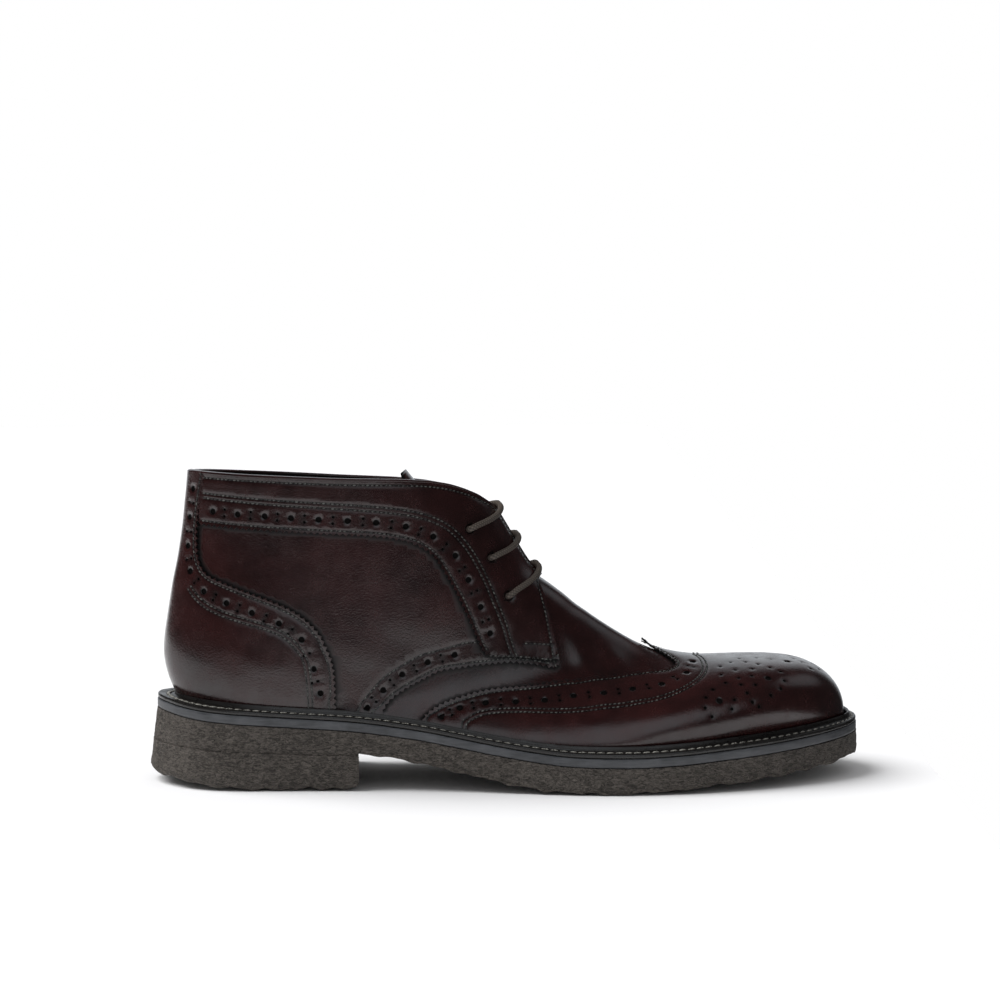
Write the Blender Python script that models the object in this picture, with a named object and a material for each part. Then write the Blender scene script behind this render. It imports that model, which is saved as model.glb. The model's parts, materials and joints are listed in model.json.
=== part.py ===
"""Chukka boot for the right foot: storm-welted wing-tip upper on a crepe sole.

Metres, +Z up. The toe points along +X, the outer (lateral) side faces -Y, and the
origin is on the floor under the middle of the sole.
"""
import math

import bmesh
import bpy
import numpy as np
from mathutils import Vector

# Main sizes of the boot.
LENGTH = 0.3085            # sole, heel back to toe tip
BALL_WIDTH = 0.1115        # sole, widest
SOLE_HEIGHT = 0.0316       # crepe, at the back of the heel
COLLAR_RISE = 0.0945       # collar above the welt, at the back
HEEL_LENGTH = 0.0895       # crepe heel block, back to breast

# Leather and rubber thicknesses.
WALL = 0.0013              # vamp with its lining
QUARTER_STEP = 0.0008      # the quarters lie over the vamp by this much
OVERLAY = 0.0010           # toe cap, counter and facings
MIDSOLE = 0.0037
WELT = 0.0020
LIP_RISE = 0.0022          # the storm welt's ridge, above the welt
LIP = 0.0013
INSOLE = 0.0034
TONGUE = 0.0022
TONGUE_DEPTH = 0.0165      # how far the tongue's sides reach back from the ridge

# Lacing.
THROAT_WIDTH = 0.0090      # between the two facings
EYELET = 0.0042            # hole in the facing
LACE = 0.0027              # diameter of the round lace

# Clearances.
GAP = 0.0003               # between pieces that touch
LACE_GAP = 0.0006          # lace to the leather it passes
WELT_SEAT = 0.0065         # how far the welt runs in under the upper

# How far cutters run past the boot.
SKY = 2.5 * COLLAR_RISE
PAST = 0.1 * LENGTH

# Fineness of the faceted forms.
AROUND = 24
RINGS = 28
SOLE_STEPS = 24
CUT_STEPS = 26
OUTLINE_POINTS = 241

# The last, as sections that fan out from heel back and throat to the toe. Each runs
# from a base point to a ridge point, both a share of LENGTH from the heel back and a
# share of COLLAR_RISE above the welt. Half widths and side shifts are shares of
# BALL_WIDTH. widest is how far up the section is widest, and the powers square its
# lower and upper quarters.
SECTION_COLUMNS = ("base_s", "base_rise", "ridge_s", "ridge_rise", "lateral", "medial",
                   "base_shift", "ridge_shift", "widest", "low_power", "top_power")
SECTIONS = (
    (0.0681, 1.178, 0.4188, 1.308, 0.268, 0.268, 0.000, 0.000, 0.52, 2.0, 2.3),
    (0.0634, 1.008, 0.4480, 1.136, 0.262, 0.262, 0.000, 0.000, 0.52, 2.0, 2.3),
    (0.0585, 0.836, 0.4837, 0.971, 0.257, 0.257, 0.000, 0.002, 0.51, 2.0, 2.3),
    (0.0511, 0.653, 0.5132, 0.823, 0.256, 0.256, 0.000, 0.005, 0.50, 2.0, 2.3),
    (0.0422, 0.512, 0.5342, 0.732, 0.257, 0.257, 0.000, 0.008, 0.47, 2.0, 2.3),
    (0.0345, 0.350, 0.5621, 0.680, 0.260, 0.260, 0.000, 0.012, 0.43, 2.05, 2.3),
    (0.0286, 0.199, 0.5977, 0.589, 0.264, 0.264, 0.000, 0.016, 0.38, 2.1, 2.2),
    (0.0389, 0.055, 0.6295, 0.516, 0.266, 0.268, 0.000, 0.020, 0.33, 2.2, 2.1),
    (0.0687, -0.060, 0.6586, 0.458, 0.266, 0.272, 0.000, 0.022, 0.29, 2.3, 2.1),
    (0.1336, -0.101, 0.6878, 0.402, 0.262, 0.270, -0.006, 0.024, 0.28, 2.4, 2.15),
    (0.2373, -0.102, 0.7202, 0.360, 0.270, 0.276, -0.022, 0.026, 0.28, 2.5, 2.2),
    (0.3507, -0.105, 0.7559, 0.328, 0.308, 0.304, -0.034, 0.028, 0.28, 2.6, 2.25),
    (0.4642, -0.104, 0.7916, 0.310, 0.378, 0.366, -0.026, 0.030, 0.29, 2.6, 2.3),
    (0.5939, -0.093, 0.8337, 0.301, 0.432, 0.420, -0.002, 0.032, 0.32, 2.6, 2.4),
    (0.7235, -0.092, 0.8791, 0.287, 0.409, 0.409, 0.016, 0.034, 0.36, 2.6, 2.5),
    (0.8370, -0.093, 0.9180, 0.262, 0.330, 0.330, 0.034, 0.038, 0.42, 2.5, 2.5),
    (0.9115, -0.084, 0.9488, 0.203, 0.240, 0.240, 0.044, 0.044, 0.46, 2.4, 2.4),
    (0.9536, -0.059, 0.9676, 0.127, 0.150, 0.150, 0.046, 0.046, 0.50, 2.3, 2.3),
    (0.9741, 0.000, 0.9744, 0.047, 0.040, 0.040, 0.044, 0.044, 0.50, 2.0, 2.0),
)

# How far the tongue lies back from the ridge at each section, as a share of
# COLLAR_RISE: it leaves the throat and leans into the boot.
TONGUE_LEAN = (0.30, 0.24, 0.16, 0.075, 0.022, 0.0)
TONGUE_TOP = 0.72          # its tip and its hidden foot, as section numbers
TONGUE_END = 7.0
TONGUE_SLOPE = 1.3         # its tip's sides fall this steeply, seen from the side

# Plan outline of the sole: share of LENGTH from the heel back, and the outer and
# inner edges as shares of BALL_WIDTH.
OUTLINE_COLUMNS = ("s", "lateral", "medial")
OUTLINE = (
    (0.000, 0.014, 0.014), (0.020, -0.138, 0.168), (0.050, -0.232, 0.262),
    (0.080, -0.281, 0.311), (0.120, -0.309, 0.338), (0.200, -0.321, 0.338),
    (0.300, -0.339, 0.321), (0.400, -0.375, 0.312), (0.500, -0.433, 0.357),
    (0.600, -0.489, 0.442), (0.650, -0.500, 0.478), (0.720, -0.487, 0.500),
    (0.800, -0.440, 0.486), (0.880, -0.352, 0.430), (0.920, -0.288, 0.382),
    (0.950, -0.222, 0.320), (0.980, -0.130, 0.226), (0.992, -0.066, 0.160),
    (1.000, 0.046, 0.046),
)

# Heights along the sole, as shares of SOLE_HEIGHT: the underside of the crepe
# outsole (over the heel block it is the seam), the top of the crepe, and how far its
# upper edge draws in.
SOLE_COLUMNS = ("s", "under", "crepe_top", "draw_in")
SOLE = (
    (0.000, 0.570, 1.000, 0.122), (0.080, 0.525, 0.902, 0.075),
    (0.180, 0.490, 0.838, 0.050), (0.284, 0.460, 0.776, 0.036),
    (0.330, 0.415, 0.725, 0.028), (0.374, 0.351, 0.665, 0.024),
    (0.428, 0.228, 0.570, 0.020), (0.482, 0.122, 0.475, 0.018),
    (0.522, 0.046, 0.416, 0.018), (0.585, 0.000, 0.355, 0.018),
    (0.665, 0.000, 0.347, 0.018), (0.726, 0.030, 0.370, 0.018),
    (0.783, 0.080, 0.411, 0.018), (0.842, 0.127, 0.448, 0.018),
    (0.904, 0.176, 0.496, 0.018), (0.955, 0.224, 0.538, 0.018),
    (1.000, 0.262, 0.575, 0.018),
)

# Underside of the heel block: share of LENGTH, share of SOLE_HEIGHT.
HEEL_COLUMNS = ("s", "under")
HEEL_UNDER = (
    (0.000, 0.120), (0.030, 0.085), (0.066, 0.048), (0.101, 0.024),
    (0.150, 0.000), (0.300, 0.000),
)

# Edge shapes, bottom to top: share of the layer's height, and share of its
# own edge radius that the edge is drawn in.
CREPE_EDGE = ((0.0, 1.0), (0.16, 0.15), (0.55, 0.0), (1.0, 0.0))
SQUARE_EDGE = ((0.0, 0.0), (1.0, 0.0))
EDGE_ROUND = 0.0014        # rounding of the crepe's lower edge

# Collar line on the outer side: share of LENGTH from the heel back, share of
# COLLAR_RISE above the welt. The inner side runs lower, by RIM_DROP at the front.
RIM = (
    (-0.022, 1.008), (0.059, 1.029), (0.134, 1.037), (0.205, 1.042), (0.267, 1.046),
    (0.347, 1.069), (0.388, 1.080), (0.413, 1.078), (0.432, 1.067), (0.452, 1.047),
    (0.467, 1.020), (0.480, 0.994),
)
RIM_DROP = 0.0026

# Panel edges seen from the side, as shares in the same way. Each is cut straight
# through the boot from side to side.
QUARTER_FRONT = ((0.536, 0.703), (0.546, 0.624), (0.556, 0.500), (0.565, 0.376),
                 (0.566, 0.327))
QUARTER_HEM = ((0.554, 0.319), (0.529, 0.339), (0.497, 0.340), (0.475, 0.317),
               (0.450, 0.295), (0.423, 0.267), (0.402, 0.246), (0.387, 0.215),
               (0.369, 0.175), (0.350, 0.131), (0.335, 0.084), (0.324, 0.036),
               (0.316, -0.060))
FACING_HEM = ((0.565, 0.345), (0.528, 0.347), (0.487, 0.338), (0.465, 0.331),
              (0.458, 0.357), (0.451, 0.407), (0.439, 0.492), (0.426, 0.582),
              (0.409, 0.670), (0.389, 0.751), (0.356, 0.790), (0.307, 0.797),
              (0.258, 0.791), (0.193, 0.789), (0.127, 0.790), (0.046, 0.790))
COUNTER_EDGE = ((0.085, 1.120), (0.081, 0.957), (0.077, 0.868), (0.073, 0.737),
                (0.074, 0.652), (0.083, 0.585), (0.111, 0.550), (0.144, 0.517),
                (0.175, 0.487), (0.208, 0.441), (0.238, 0.353), (0.248, 0.297),
                (0.258, 0.201), (0.260, 0.114), (0.261, 0.019), (0.261, -0.060))
TOE_CAP_EDGE = ((0.678, 0.480), (0.688, 0.418), (0.703, 0.397), (0.719, 0.366),
                (0.730, 0.348), (0.715, 0.331), (0.673, 0.324), (0.632, 0.316),
                (0.593, 0.304), (0.553, 0.285), (0.516, 0.249), (0.479, 0.226),
                (0.454, 0.202), (0.431, 0.165), (0.412, 0.135), (0.396, 0.098),
                (0.381, 0.052), (0.370, -0.080))

# The throat: where the ridge point of the slot's foot lies, as a section number
# counted along SECTIONS, and the eyelets seen from the side, bottom one first.
THROAT_FOOT = 4.35
THROAT_REACH = 0.065       # length of the slot cutter, up past the collar
EYELETS = ((0.4955, 0.618), (0.4709, 0.777), (0.4410, 0.890))
TOP_BAR_RISE = -0.75        # the top lace runs a little upwards to the other side

# Colours.
OXBLOOD = (0.060, 0.016, 0.014, 1.0)
CREPE = (0.075, 0.062, 0.052, 1.0)
SLATE = (0.035, 0.037, 0.042, 1.0)
BLACK = (0.012, 0.011, 0.011, 1.0)
TAN = (0.300, 0.190, 0.110, 1.0)
TAUPE = (0.160, 0.130, 0.105, 1.0)


def clear_scene():
    """Remove every object, so that the script can be run again."""
    for old in list(bpy.data.objects):
        bpy.data.objects.remove(old, do_unlink=True)
    for name in ("chukka_boot", "cutters"):
        if name in bpy.data.collections:
            bpy.data.collections.remove(bpy.data.collections[name])


def collection(name):
    """A new collection, linked to the scene."""
    new = bpy.data.collections.new(name)
    bpy.context.scene.collection.children.link(new)
    return new


def material(name, colour, roughness):
    """A Principled material."""
    new = bpy.data.materials.new(name)
    new.use_nodes = True
    shader = new.node_tree.nodes["Principled BSDF"]
    shader.inputs["Base Color"].default_value = colour
    shader.inputs["Roughness"].default_value = roughness
    shader.inputs["Metallic"].default_value = 0.0
    return new


def column(table, columns, name):
    """One named column of a table."""
    place = columns.index(name)
    return np.array([row[place] for row in table], dtype=float)


def curve(knots, values):
    """A smooth curve through a table's rows that makes no bump between them."""
    knots = np.asarray(knots, dtype=float)
    values = np.asarray(values, dtype=float)
    steps = np.diff(knots)
    rises = np.diff(values) / steps
    slopes = np.zeros(len(knots))
    slopes[0] = rises[0]
    slopes[-1] = rises[-1]
    for i in range(1, len(knots) - 1):
        if rises[i - 1] * rises[i] > 0:
            first = 2 * steps[i] + steps[i - 1]
            second = steps[i] + 2 * steps[i - 1]
            slopes[i] = (first + second) / (first / rises[i - 1] + second / rises[i])

    def value(x):
        x = np.clip(np.asarray(x, dtype=float), knots[0], knots[-1])
        i = np.clip(np.searchsorted(knots, x) - 1, 0, len(steps) - 1)
        t = (x - knots[i]) / steps[i]
        a = values[i] * (1 + 2 * t) * (1 - t) ** 2
        b = values[i + 1] * t * t * (3 - 2 * t)
        c = steps[i] * t * (1 - t) * (slopes[i] * (1 - t) - slopes[i + 1] * t)
        return a + b + c

    return value


def station(s):
    """X of a share of the length."""
    return (np.asarray(s) - 0.5) * LENGTH


def share(x):
    """Share of the length of an X."""
    return np.asarray(x) / LENGTH + 0.5


def sole_curve(name):
    """A height or width along the sole, by share of the length."""
    return curve(column(SOLE, SOLE_COLUMNS, "s"),
                 SOLE_HEIGHT * column(SOLE, SOLE_COLUMNS, name))


sole_under = sole_curve("under")
crepe_top = sole_curve("crepe_top")
draw_in = sole_curve("draw_in")
heel_under = curve(column(HEEL_UNDER, HEEL_COLUMNS, "s"),
                   SOLE_HEIGHT * column(HEEL_UNDER, HEEL_COLUMNS, "under"))


def midsole_top(s):
    return crepe_top(s) + GAP + MIDSOLE


def welt_top(s):
    return midsole_top(s) + GAP + WELT


def feather(s):
    """Height of the upper's lower edge, on the welt."""
    return welt_top(s) + GAP


def turn(s):
    """A share of the length as an angle, so that the outline's ends come out round."""
    return np.arccos(1 - 2 * np.clip(np.asarray(s, dtype=float), 0, 1))


def flare(s, z):
    """How far the sole's side leans in at a height, from nothing at the floor."""
    return draw_in(s) * np.clip(z / crepe_top(s), 0, 1)


def outline_sides(inset, height, end=1.0):
    """Outer and inner edge of the sole from the heel back to the share end, drawn in
    by inset and by the flare at a height that varies along the boot."""
    angles = turn(column(OUTLINE, OUTLINE_COLUMNS, "s"))
    lateral = curve(angles, BALL_WIDTH * column(OUTLINE, OUTLINE_COLUMNS, "lateral"))
    medial = curve(angles, BALL_WIDTH * column(OUTLINE, OUTLINE_COLUMNS, "medial"))
    fine = np.linspace(0, math.pi, OUTLINE_POINTS)
    along = station((1 - np.cos(fine)) / 2)
    loop = np.concatenate([np.stack([along, lateral(fine)], 1),
                           np.stack([along, medial(fine)], 1)[-2:0:-1]])
    tangent = np.roll(loop, -1, 0) - np.roll(loop, 1, 0)
    outward = np.stack([tangent[:, 1], -tangent[:, 0]], 1)
    outward /= np.linalg.norm(outward, axis=1)[:, None]
    along = share(loop[:, 0])
    loop = loop - outward * (inset + flare(along, height(along)))[:, None]
    toe = OUTLINE_POINTS - 1
    outer = loop[:OUTLINE_POINTS]
    inner = np.concatenate([loop[:1], loop[:toe:-1], loop[toe:OUTLINE_POINTS]])
    span = np.linspace(0, 1, SOLE_STEPS + 1)
    low, high = outer[0, 0], min(outer[-1, 0], station(end))
    full = end >= 1.0
    bend = (1 - np.cos(math.pi * span)) / 2 if full else 1 - np.cos(math.pi / 2 * span)
    xs = low + (high - low) * bend
    sides = []
    for edge in (outer, inner):
        order = np.argsort(edge[:, 0], kind="stable")
        ends_x, ends_y = edge[order, 0], edge[order, 1]
        sides.append(np.stack([xs, np.interp(xs, ends_x, ends_y)], 1))
    sides[0][0] = sides[1][0] = outer[0]
    if full:
        sides[0][-1] = sides[1][-1] = outer[-1]
    return sides


def slab(name, low, high, edge, radius, end=1.0, inset=0.0):
    """One layer of the sole, between two heights that vary along the boot."""
    bm = bmesh.new()
    levels = []
    for part, drawn in edge:
        def height(s, part=part):
            return low(s) + (high(s) - low(s)) * part

        rows = []
        for side in outline_sides(inset + drawn * radius, height, end):
            z = height(share(side[:, 0]))
            rows.append([bm.verts.new((x, y, zz)) for (x, y), zz in zip(side, z)])
        rows[1][0] = rows[0][0]
        if end >= 1.0:
            rows[1][-1] = rows[0][-1]
        levels.append(rows)
    for below, above in zip(levels, levels[1:]):
        for side in (0, 1):
            for j in range(SOLE_STEPS):
                add_face(bm, (below[side][j], below[side][j + 1],
                              above[side][j + 1], above[side][j]))
        if end < 1.0:
            add_face(bm, (below[0][-1], below[1][-1], above[1][-1], above[0][-1]))
    for rows in (levels[0], levels[-1]):
        for j in range(SOLE_STEPS):
            add_face(bm, (rows[0][j], rows[0][j + 1], rows[1][j + 1], rows[1][j]))
    return solid(name, bm)


def add_face(bm, verts):
    """A face from corners, of which neighbours may be the same point."""
    seen = []
    for vert in verts:
        if vert not in seen:
            seen.append(vert)
    if len(seen) > 2:
        bm.faces.new(seen)


def solid(name, bm):
    """A mesh object from bmesh data, outward faces, linked to the work collection."""
    loose = [vert for vert in bm.verts if not vert.link_faces]
    bmesh.ops.delete(bm, geom=loose, context="VERTS")
    bmesh.ops.triangulate(bm, faces=[f for f in bm.faces if len(f.verts) == 4])
    bmesh.ops.recalc_face_normals(bm, faces=bm.faces)
    mesh = bpy.data.meshes.new(name)
    bm.to_mesh(mesh)
    bm.free()
    new = bpy.data.objects.new(name, mesh)
    cutters.objects.link(new)
    new.hide_render = True
    new.display_type = "WIRE"
    return new


def section_values():
    """Every column of SECTIONS as a smooth function of the section number."""
    numbers = np.arange(len(SECTIONS))
    return {name: curve(numbers, column(SECTIONS, SECTION_COLUMNS, name))
            for name in SECTION_COLUMNS}


def form_surface(t, angle, lean=0.0):
    """Point of the last at section number t and an angle from the base, round by the
    outer side (negative) or the inner side (positive). pi is the ridge."""
    t = np.asarray(t, dtype=float)
    angle = np.asarray(angle, dtype=float)
    v = {name: value(t) for name, value in form_curves.items()}
    base_x, ridge_x = station(v["base_s"]), station(v["ridge_s"])
    base_z = feather(v["base_s"]) + COLLAR_RISE * v["base_rise"]
    ridge_z = feather(v["ridge_s"]) + COLLAR_RISE * v["ridge_rise"]
    ridge_x = ridge_x - COLLAR_RISE * lean * lean_curve(t)
    low = np.cos(angle) > 0
    power = 2 / np.where(low, v["low_power"], v["top_power"])
    up = np.abs(np.cos(angle)) ** power
    out = np.abs(np.sin(angle)) ** power
    height = np.where(low, v["widest"] * (1 - up), v["widest"] + (1 - v["widest"]) * up)
    half = np.where(angle < 0, v["lateral"], v["medial"]) * BALL_WIDTH
    middle = BALL_WIDTH * (v["base_shift"] + (v["ridge_shift"] - v["base_shift"]) * height)
    return np.stack([base_x + (ridge_x - base_x) * height,
                     middle + np.sign(np.sin(angle)) * half * out,
                     base_z + (ridge_z - base_z) * height], -1)


def form_point(t, angle, offset, lean=0.0):
    """Point of the last, moved out along its normal by offset."""
    step = 0.02
    point = form_surface(t, angle, lean)
    last = len(SECTIONS) - 1
    ahead, back = np.minimum(np.asarray(t) + step, last), np.maximum(np.asarray(t) - step, 0)
    along = form_surface(ahead, angle, lean) - form_surface(back, angle, lean)
    left, right = wrapped(angle - step), wrapped(angle + step)
    across = form_surface(t, right, lean) - form_surface(t, left, lean)
    normal = np.cross(across, along)
    normal /= np.linalg.norm(normal, axis=-1)[..., None]
    return point + normal * offset


def wrapped(angle):
    """An angle brought back between -pi and pi."""
    return (np.asarray(angle) + math.pi) % (2 * math.pi) - math.pi


def last_form(name, offset, lean=0.0, end=len(SECTIONS) - 1):
    """The last grown by offset, as a closed solid, up to section number end."""
    rings = np.linspace(0, end, round(RINGS * end / (len(SECTIONS) - 1)) + 1)
    angles = -math.pi + 2 * math.pi * (np.arange(AROUND) + 0.5) / AROUND
    bm = bmesh.new()
    rows = []
    for t in rings:
        points = form_point(np.full(AROUND, t), angles, offset, lean)
        rows.append([bm.verts.new(p) for p in points])
    for row, ahead in zip(rows, rows[1:]):
        for j in range(AROUND):
            k = (j + 1) % AROUND
            bm.faces.new((row[j], row[k], ahead[k], ahead[j]))
    for row in (rows[0], rows[-1]):
        middle = bm.verts.new(sum((vert.co for vert in row), Vector()) / AROUND)
        for j in range(AROUND):
            bm.faces.new((row[j], row[(j + 1) % AROUND], middle))
    return solid(name, bm)


def prism(name, lateral, medial=None, reach=None):
    """A cutter from a side-view outline, run through the boot from side to side."""
    medial = medial or lateral
    reach = reach or BALL_WIDTH
    bm = bmesh.new()
    near = [bm.verts.new((x, -reach, z)) for x, z in lateral]
    far = [bm.verts.new((x, reach, z)) for x, z in medial]
    count = len(near)
    for j in range(count):
        k = (j + 1) % count
        bm.faces.new((near[j], near[k], far[k], far[j]))
    bm.faces.new(near)
    bm.faces.new(far)
    return solid(name, bm)


def side_line(table, drop=0.0):
    """A side-view table as X and Z points, the later ones lowered by up to drop."""
    points = []
    for s, rise in table:
        lower = drop * min(max(s / 0.4, 0), 1)
        points.append((float(station(s)), float(feather(s) + COLLAR_RISE * rise - lower)))
    return points


def combine(target, tool, operation):
    """Apply one exact Boolean to target, and remove the tool."""
    change = target.modifiers.new("cut", "BOOLEAN")
    change.operation = operation
    change.solver = "EXACT"
    change.object = tool
    graph = bpy.context.evaluated_depsgraph_get()
    mesh = bpy.data.meshes.new_from_object(target.evaluated_get(graph))
    target.modifiers.clear()
    target.data = mesh
    bpy.data.objects.remove(tool, do_unlink=True)
    return target


def tube(name, points, radius, sides=2):
    """A round cord through points, as a closed mesh."""
    path = bpy.data.curves.new(name, "CURVE")
    path.dimensions = "3D"
    path.bevel_depth = radius
    path.bevel_resolution = sides
    path.use_fill_caps = True
    line = path.splines.new("POLY")
    line.points.add(len(points) - 1)
    for place, point in zip(line.points, points):
        place.co = (*point, 1.0)
    holder = bpy.data.objects.new(name, path)
    cutters.objects.link(holder)
    graph = bpy.context.evaluated_depsgraph_get()
    mesh = bpy.data.meshes.new_from_object(holder.evaluated_get(graph))
    bm = bmesh.new()
    bm.from_mesh(mesh)
    bmesh.ops.remove_doubles(bm, verts=bm.verts, dist=1e-6)
    new = solid(name + "_mesh", bm)
    new.matrix_world = holder.matrix_world
    bpy.data.objects.remove(holder, do_unlink=True)
    return new


def rod(name, start, end, radius, sides=16):
    """A straight round cutter between two points."""
    start, end = Vector(start), Vector(end)
    axis = end - start
    bm = bmesh.new()
    bmesh.ops.create_cone(bm, cap_ends=True, segments=sides, radius1=radius,
                          radius2=radius, depth=axis.length)
    bmesh.ops.rotate(bm, verts=bm.verts, matrix=axis.to_track_quat("Z", "Y").to_matrix())
    bmesh.ops.translate(bm, verts=bm.verts, vec=(start + end) / 2)
    return solid(name, bm)


def finish(piece, name, look):
    """Name a finished piece, give it its material and move it to the boot."""
    piece.name = name
    piece.data.name = name
    piece.data.materials.clear()
    piece.data.materials.append(look)
    for old in list(piece.users_collection):
        old.objects.unlink(piece)
    boot.objects.link(piece)
    piece.hide_render = False
    piece.display_type = "TEXTURED"
    piece.data.shade_smooth()
    piece.data.set_sharp_from_angle(angle=math.radians(35))
    return piece


def below_line(s_first, s_last, height, count=CUT_STEPS):
    """Side-view outline of all that lies under a height along the boot."""
    shares = np.linspace(s_first, s_last, count)
    top = [(float(station(s)), float(height(np.clip(s, 0, 1)))) for s in shares]
    floor = -COLLAR_RISE
    return top + [(top[-1][0], floor), (top[0][0], floor)]


def between_lines(low, high, count=CUT_STEPS):
    """Side-view outline between two heights along the boot."""
    shares = np.linspace(-0.05, 1.05, count)
    lower = [(float(station(s)), float(low(np.clip(s, 0, 1)))) for s in shares]
    upper = [(float(station(s)), float(high(np.clip(s, 0, 1)))) for s in shares]
    return lower + upper[::-1]


def collar_cutter():
    """All above the collar line."""
    outer, inner = side_line(RIM), side_line(RIM, RIM_DROP)
    front = outer[-1][0] + PAST
    for line in (outer, inner):
        line += [(front, line[-1][1] - THROAT_WIDTH / 2), (front, SKY), (outer[0][0], SKY)]
    return prism("collar_cut", outer, inner)


def throat_cutter():
    """The slot between the facings, down to the foot of the throat."""
    foot = form_surface(THROAT_FOOT, math.pi)
    high = form_surface(0.0, math.pi)
    run = Vector((high[0] - foot[0], high[2] - foot[2])).normalized()
    out = Vector((-run[1], run[0]))
    if out[0] < 0:
        out = -out
    depth = 6 * (WALL + OVERLAY)
    corners = []
    for along, across in ((0, 1.4), (0, -0.8), (1, -0.8), (1, 1.4)):
        place = (Vector((foot[0], foot[2])) + run * along * THROAT_REACH
                 + out * across * depth)
        corners.append((place[0], place[1]))
    return prism("throat_cut", corners, reach=THROAT_WIDTH / 2)


def find_on_last(s, rise):
    """Section number and sideways distance from the ridge of the point of the last
    that is seen from the side at a share of LENGTH and of COLLAR_RISE."""
    x, z = float(station(s)), float(feather(s) + COLLAR_RISE * rise)
    best_t, best_angle, width = 4.0, 0.75 * math.pi, 3.0
    for _ in range(7):
        ts = np.clip(np.linspace(best_t - width, best_t + width, 25), 0, 9)
        reach = width * math.pi / 12
        angles = np.linspace(best_angle - reach, min(best_angle + reach, math.pi), 25)
        grid_t, grid_angle = np.meshgrid(ts, angles)
        points = form_surface(grid_t, grid_angle)
        miss = (points[..., 0] - x) ** 2 + (points[..., 2] - z) ** 2
        place = np.unravel_index(np.argmin(miss), miss.shape)
        best_t, best_angle = grid_t[place], grid_angle[place]
        width *= 0.35
    aside = form_surface(best_t, best_angle)[1] - form_surface(best_t, math.pi)[1]
    return float(best_t), float(aside)


def upper_solid():
    """The vamp and quarters: one wall with the quarters a step up on it."""
    outer = last_form("upper", 0.0)
    quarter = last_form("quarter", QUARTER_STEP)
    ahead = side_line(QUARTER_FRONT) + side_line(QUARTER_HEM)
    back = float(station(0)) - PAST
    front_top = (ahead[0][0], SKY)
    low_back = [(ahead[-1][0], 0.0), (back, 0.0), (back, SKY)]
    combine(quarter, prism("quarter_cut", [front_top] + ahead + low_back), "INTERSECT")
    combine(outer, quarter, "UNION")
    combine(outer, collar_cutter(), "DIFFERENCE")
    combine(outer, prism("sole_cut", below_line(-0.1, 1.1, feather)), "DIFFERENCE")
    combine(outer, last_form("inside", -WALL), "DIFFERENCE")
    return combine(outer, throat_cutter(), "DIFFERENCE")


def overlay(name, low, outline):
    """A piece of OVERLAY leather on the last, inside a side-view outline and
    trimmed at the collar and the welt."""
    piece = last_form(name, low + OVERLAY)
    combine(piece, prism("panel", outline), "INTERSECT")
    combine(piece, collar_cutter(), "DIFFERENCE")
    combine(piece, prism("sole_cut", below_line(-0.1, 1.1, feather)), "DIFFERENCE")
    return combine(piece, last_form("inside", low), "DIFFERENCE")


def facing_solid(low):
    """Collar band and facings, one leather over the quarters."""
    hem = side_line(QUARTER_FRONT)[:-1] + side_line(FACING_HEM)
    piece = overlay("facing", low, [(hem[0][0], SKY)] + hem + [(hem[-1][0], SKY)])
    combine(piece, prism("counter_room", counter_outline(GAP)), "DIFFERENCE")
    return combine(piece, throat_cutter(), "DIFFERENCE")


def counter_outline(room):
    """Side-view outline of the heel counter with its back strip."""
    edge = [(x + room, z) for x, z in side_line(COUNTER_EDGE)]
    back = float(station(0)) - PAST
    return edge + [(edge[-1][0], 0.0), (back, 0.0), (back, SKY), (edge[0][0], SKY)]


def toe_cap_outline():
    """Side-view outline of the wing-tip toe cap: peak, valley and long wing."""
    edge = side_line(TOE_CAP_EDGE)
    front = float(station(1)) + PAST
    return edge + [(edge[-1][0], 0.0), (front, 0.0), (front, edge[0][1])]


def welt_solid():
    """Flat welt ring with the raised lip that hugs the upper."""
    ring = slab("welt", lambda s: midsole_top(s) + GAP, welt_top, SQUARE_EDGE, 0.0)
    inner = WELT_SEAT + 2 * LIP + QUARTER_STEP + OVERLAY + WALL
    hole = slab("hole", lambda s: midsole_top(s) - WELT, lambda s: welt_top(s) + WELT,
                SQUARE_EDGE, 0.0, inset=inner)
    combine(ring, hole, "DIFFERENCE")
    inside = QUARTER_STEP + 2 * GAP + OVERLAY + GAP
    lip = last_form("lip", inside + LIP)
    span = between_lines(lambda s: welt_top(s) - WELT / 2,
                         lambda s: welt_top(s) + LIP_RISE)
    combine(lip, prism("lip_cut", span), "INTERSECT")
    combine(lip, last_form("lip_inside", inside), "DIFFERENCE")
    return combine(ring, lip, "UNION")


def insole_solid():
    board = last_form("insole", -WALL - GAP)
    span = between_lines(feather, lambda s: feather(s) + INSOLE)
    return combine(board, prism("insole_cut", span), "INTERSECT")


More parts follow.
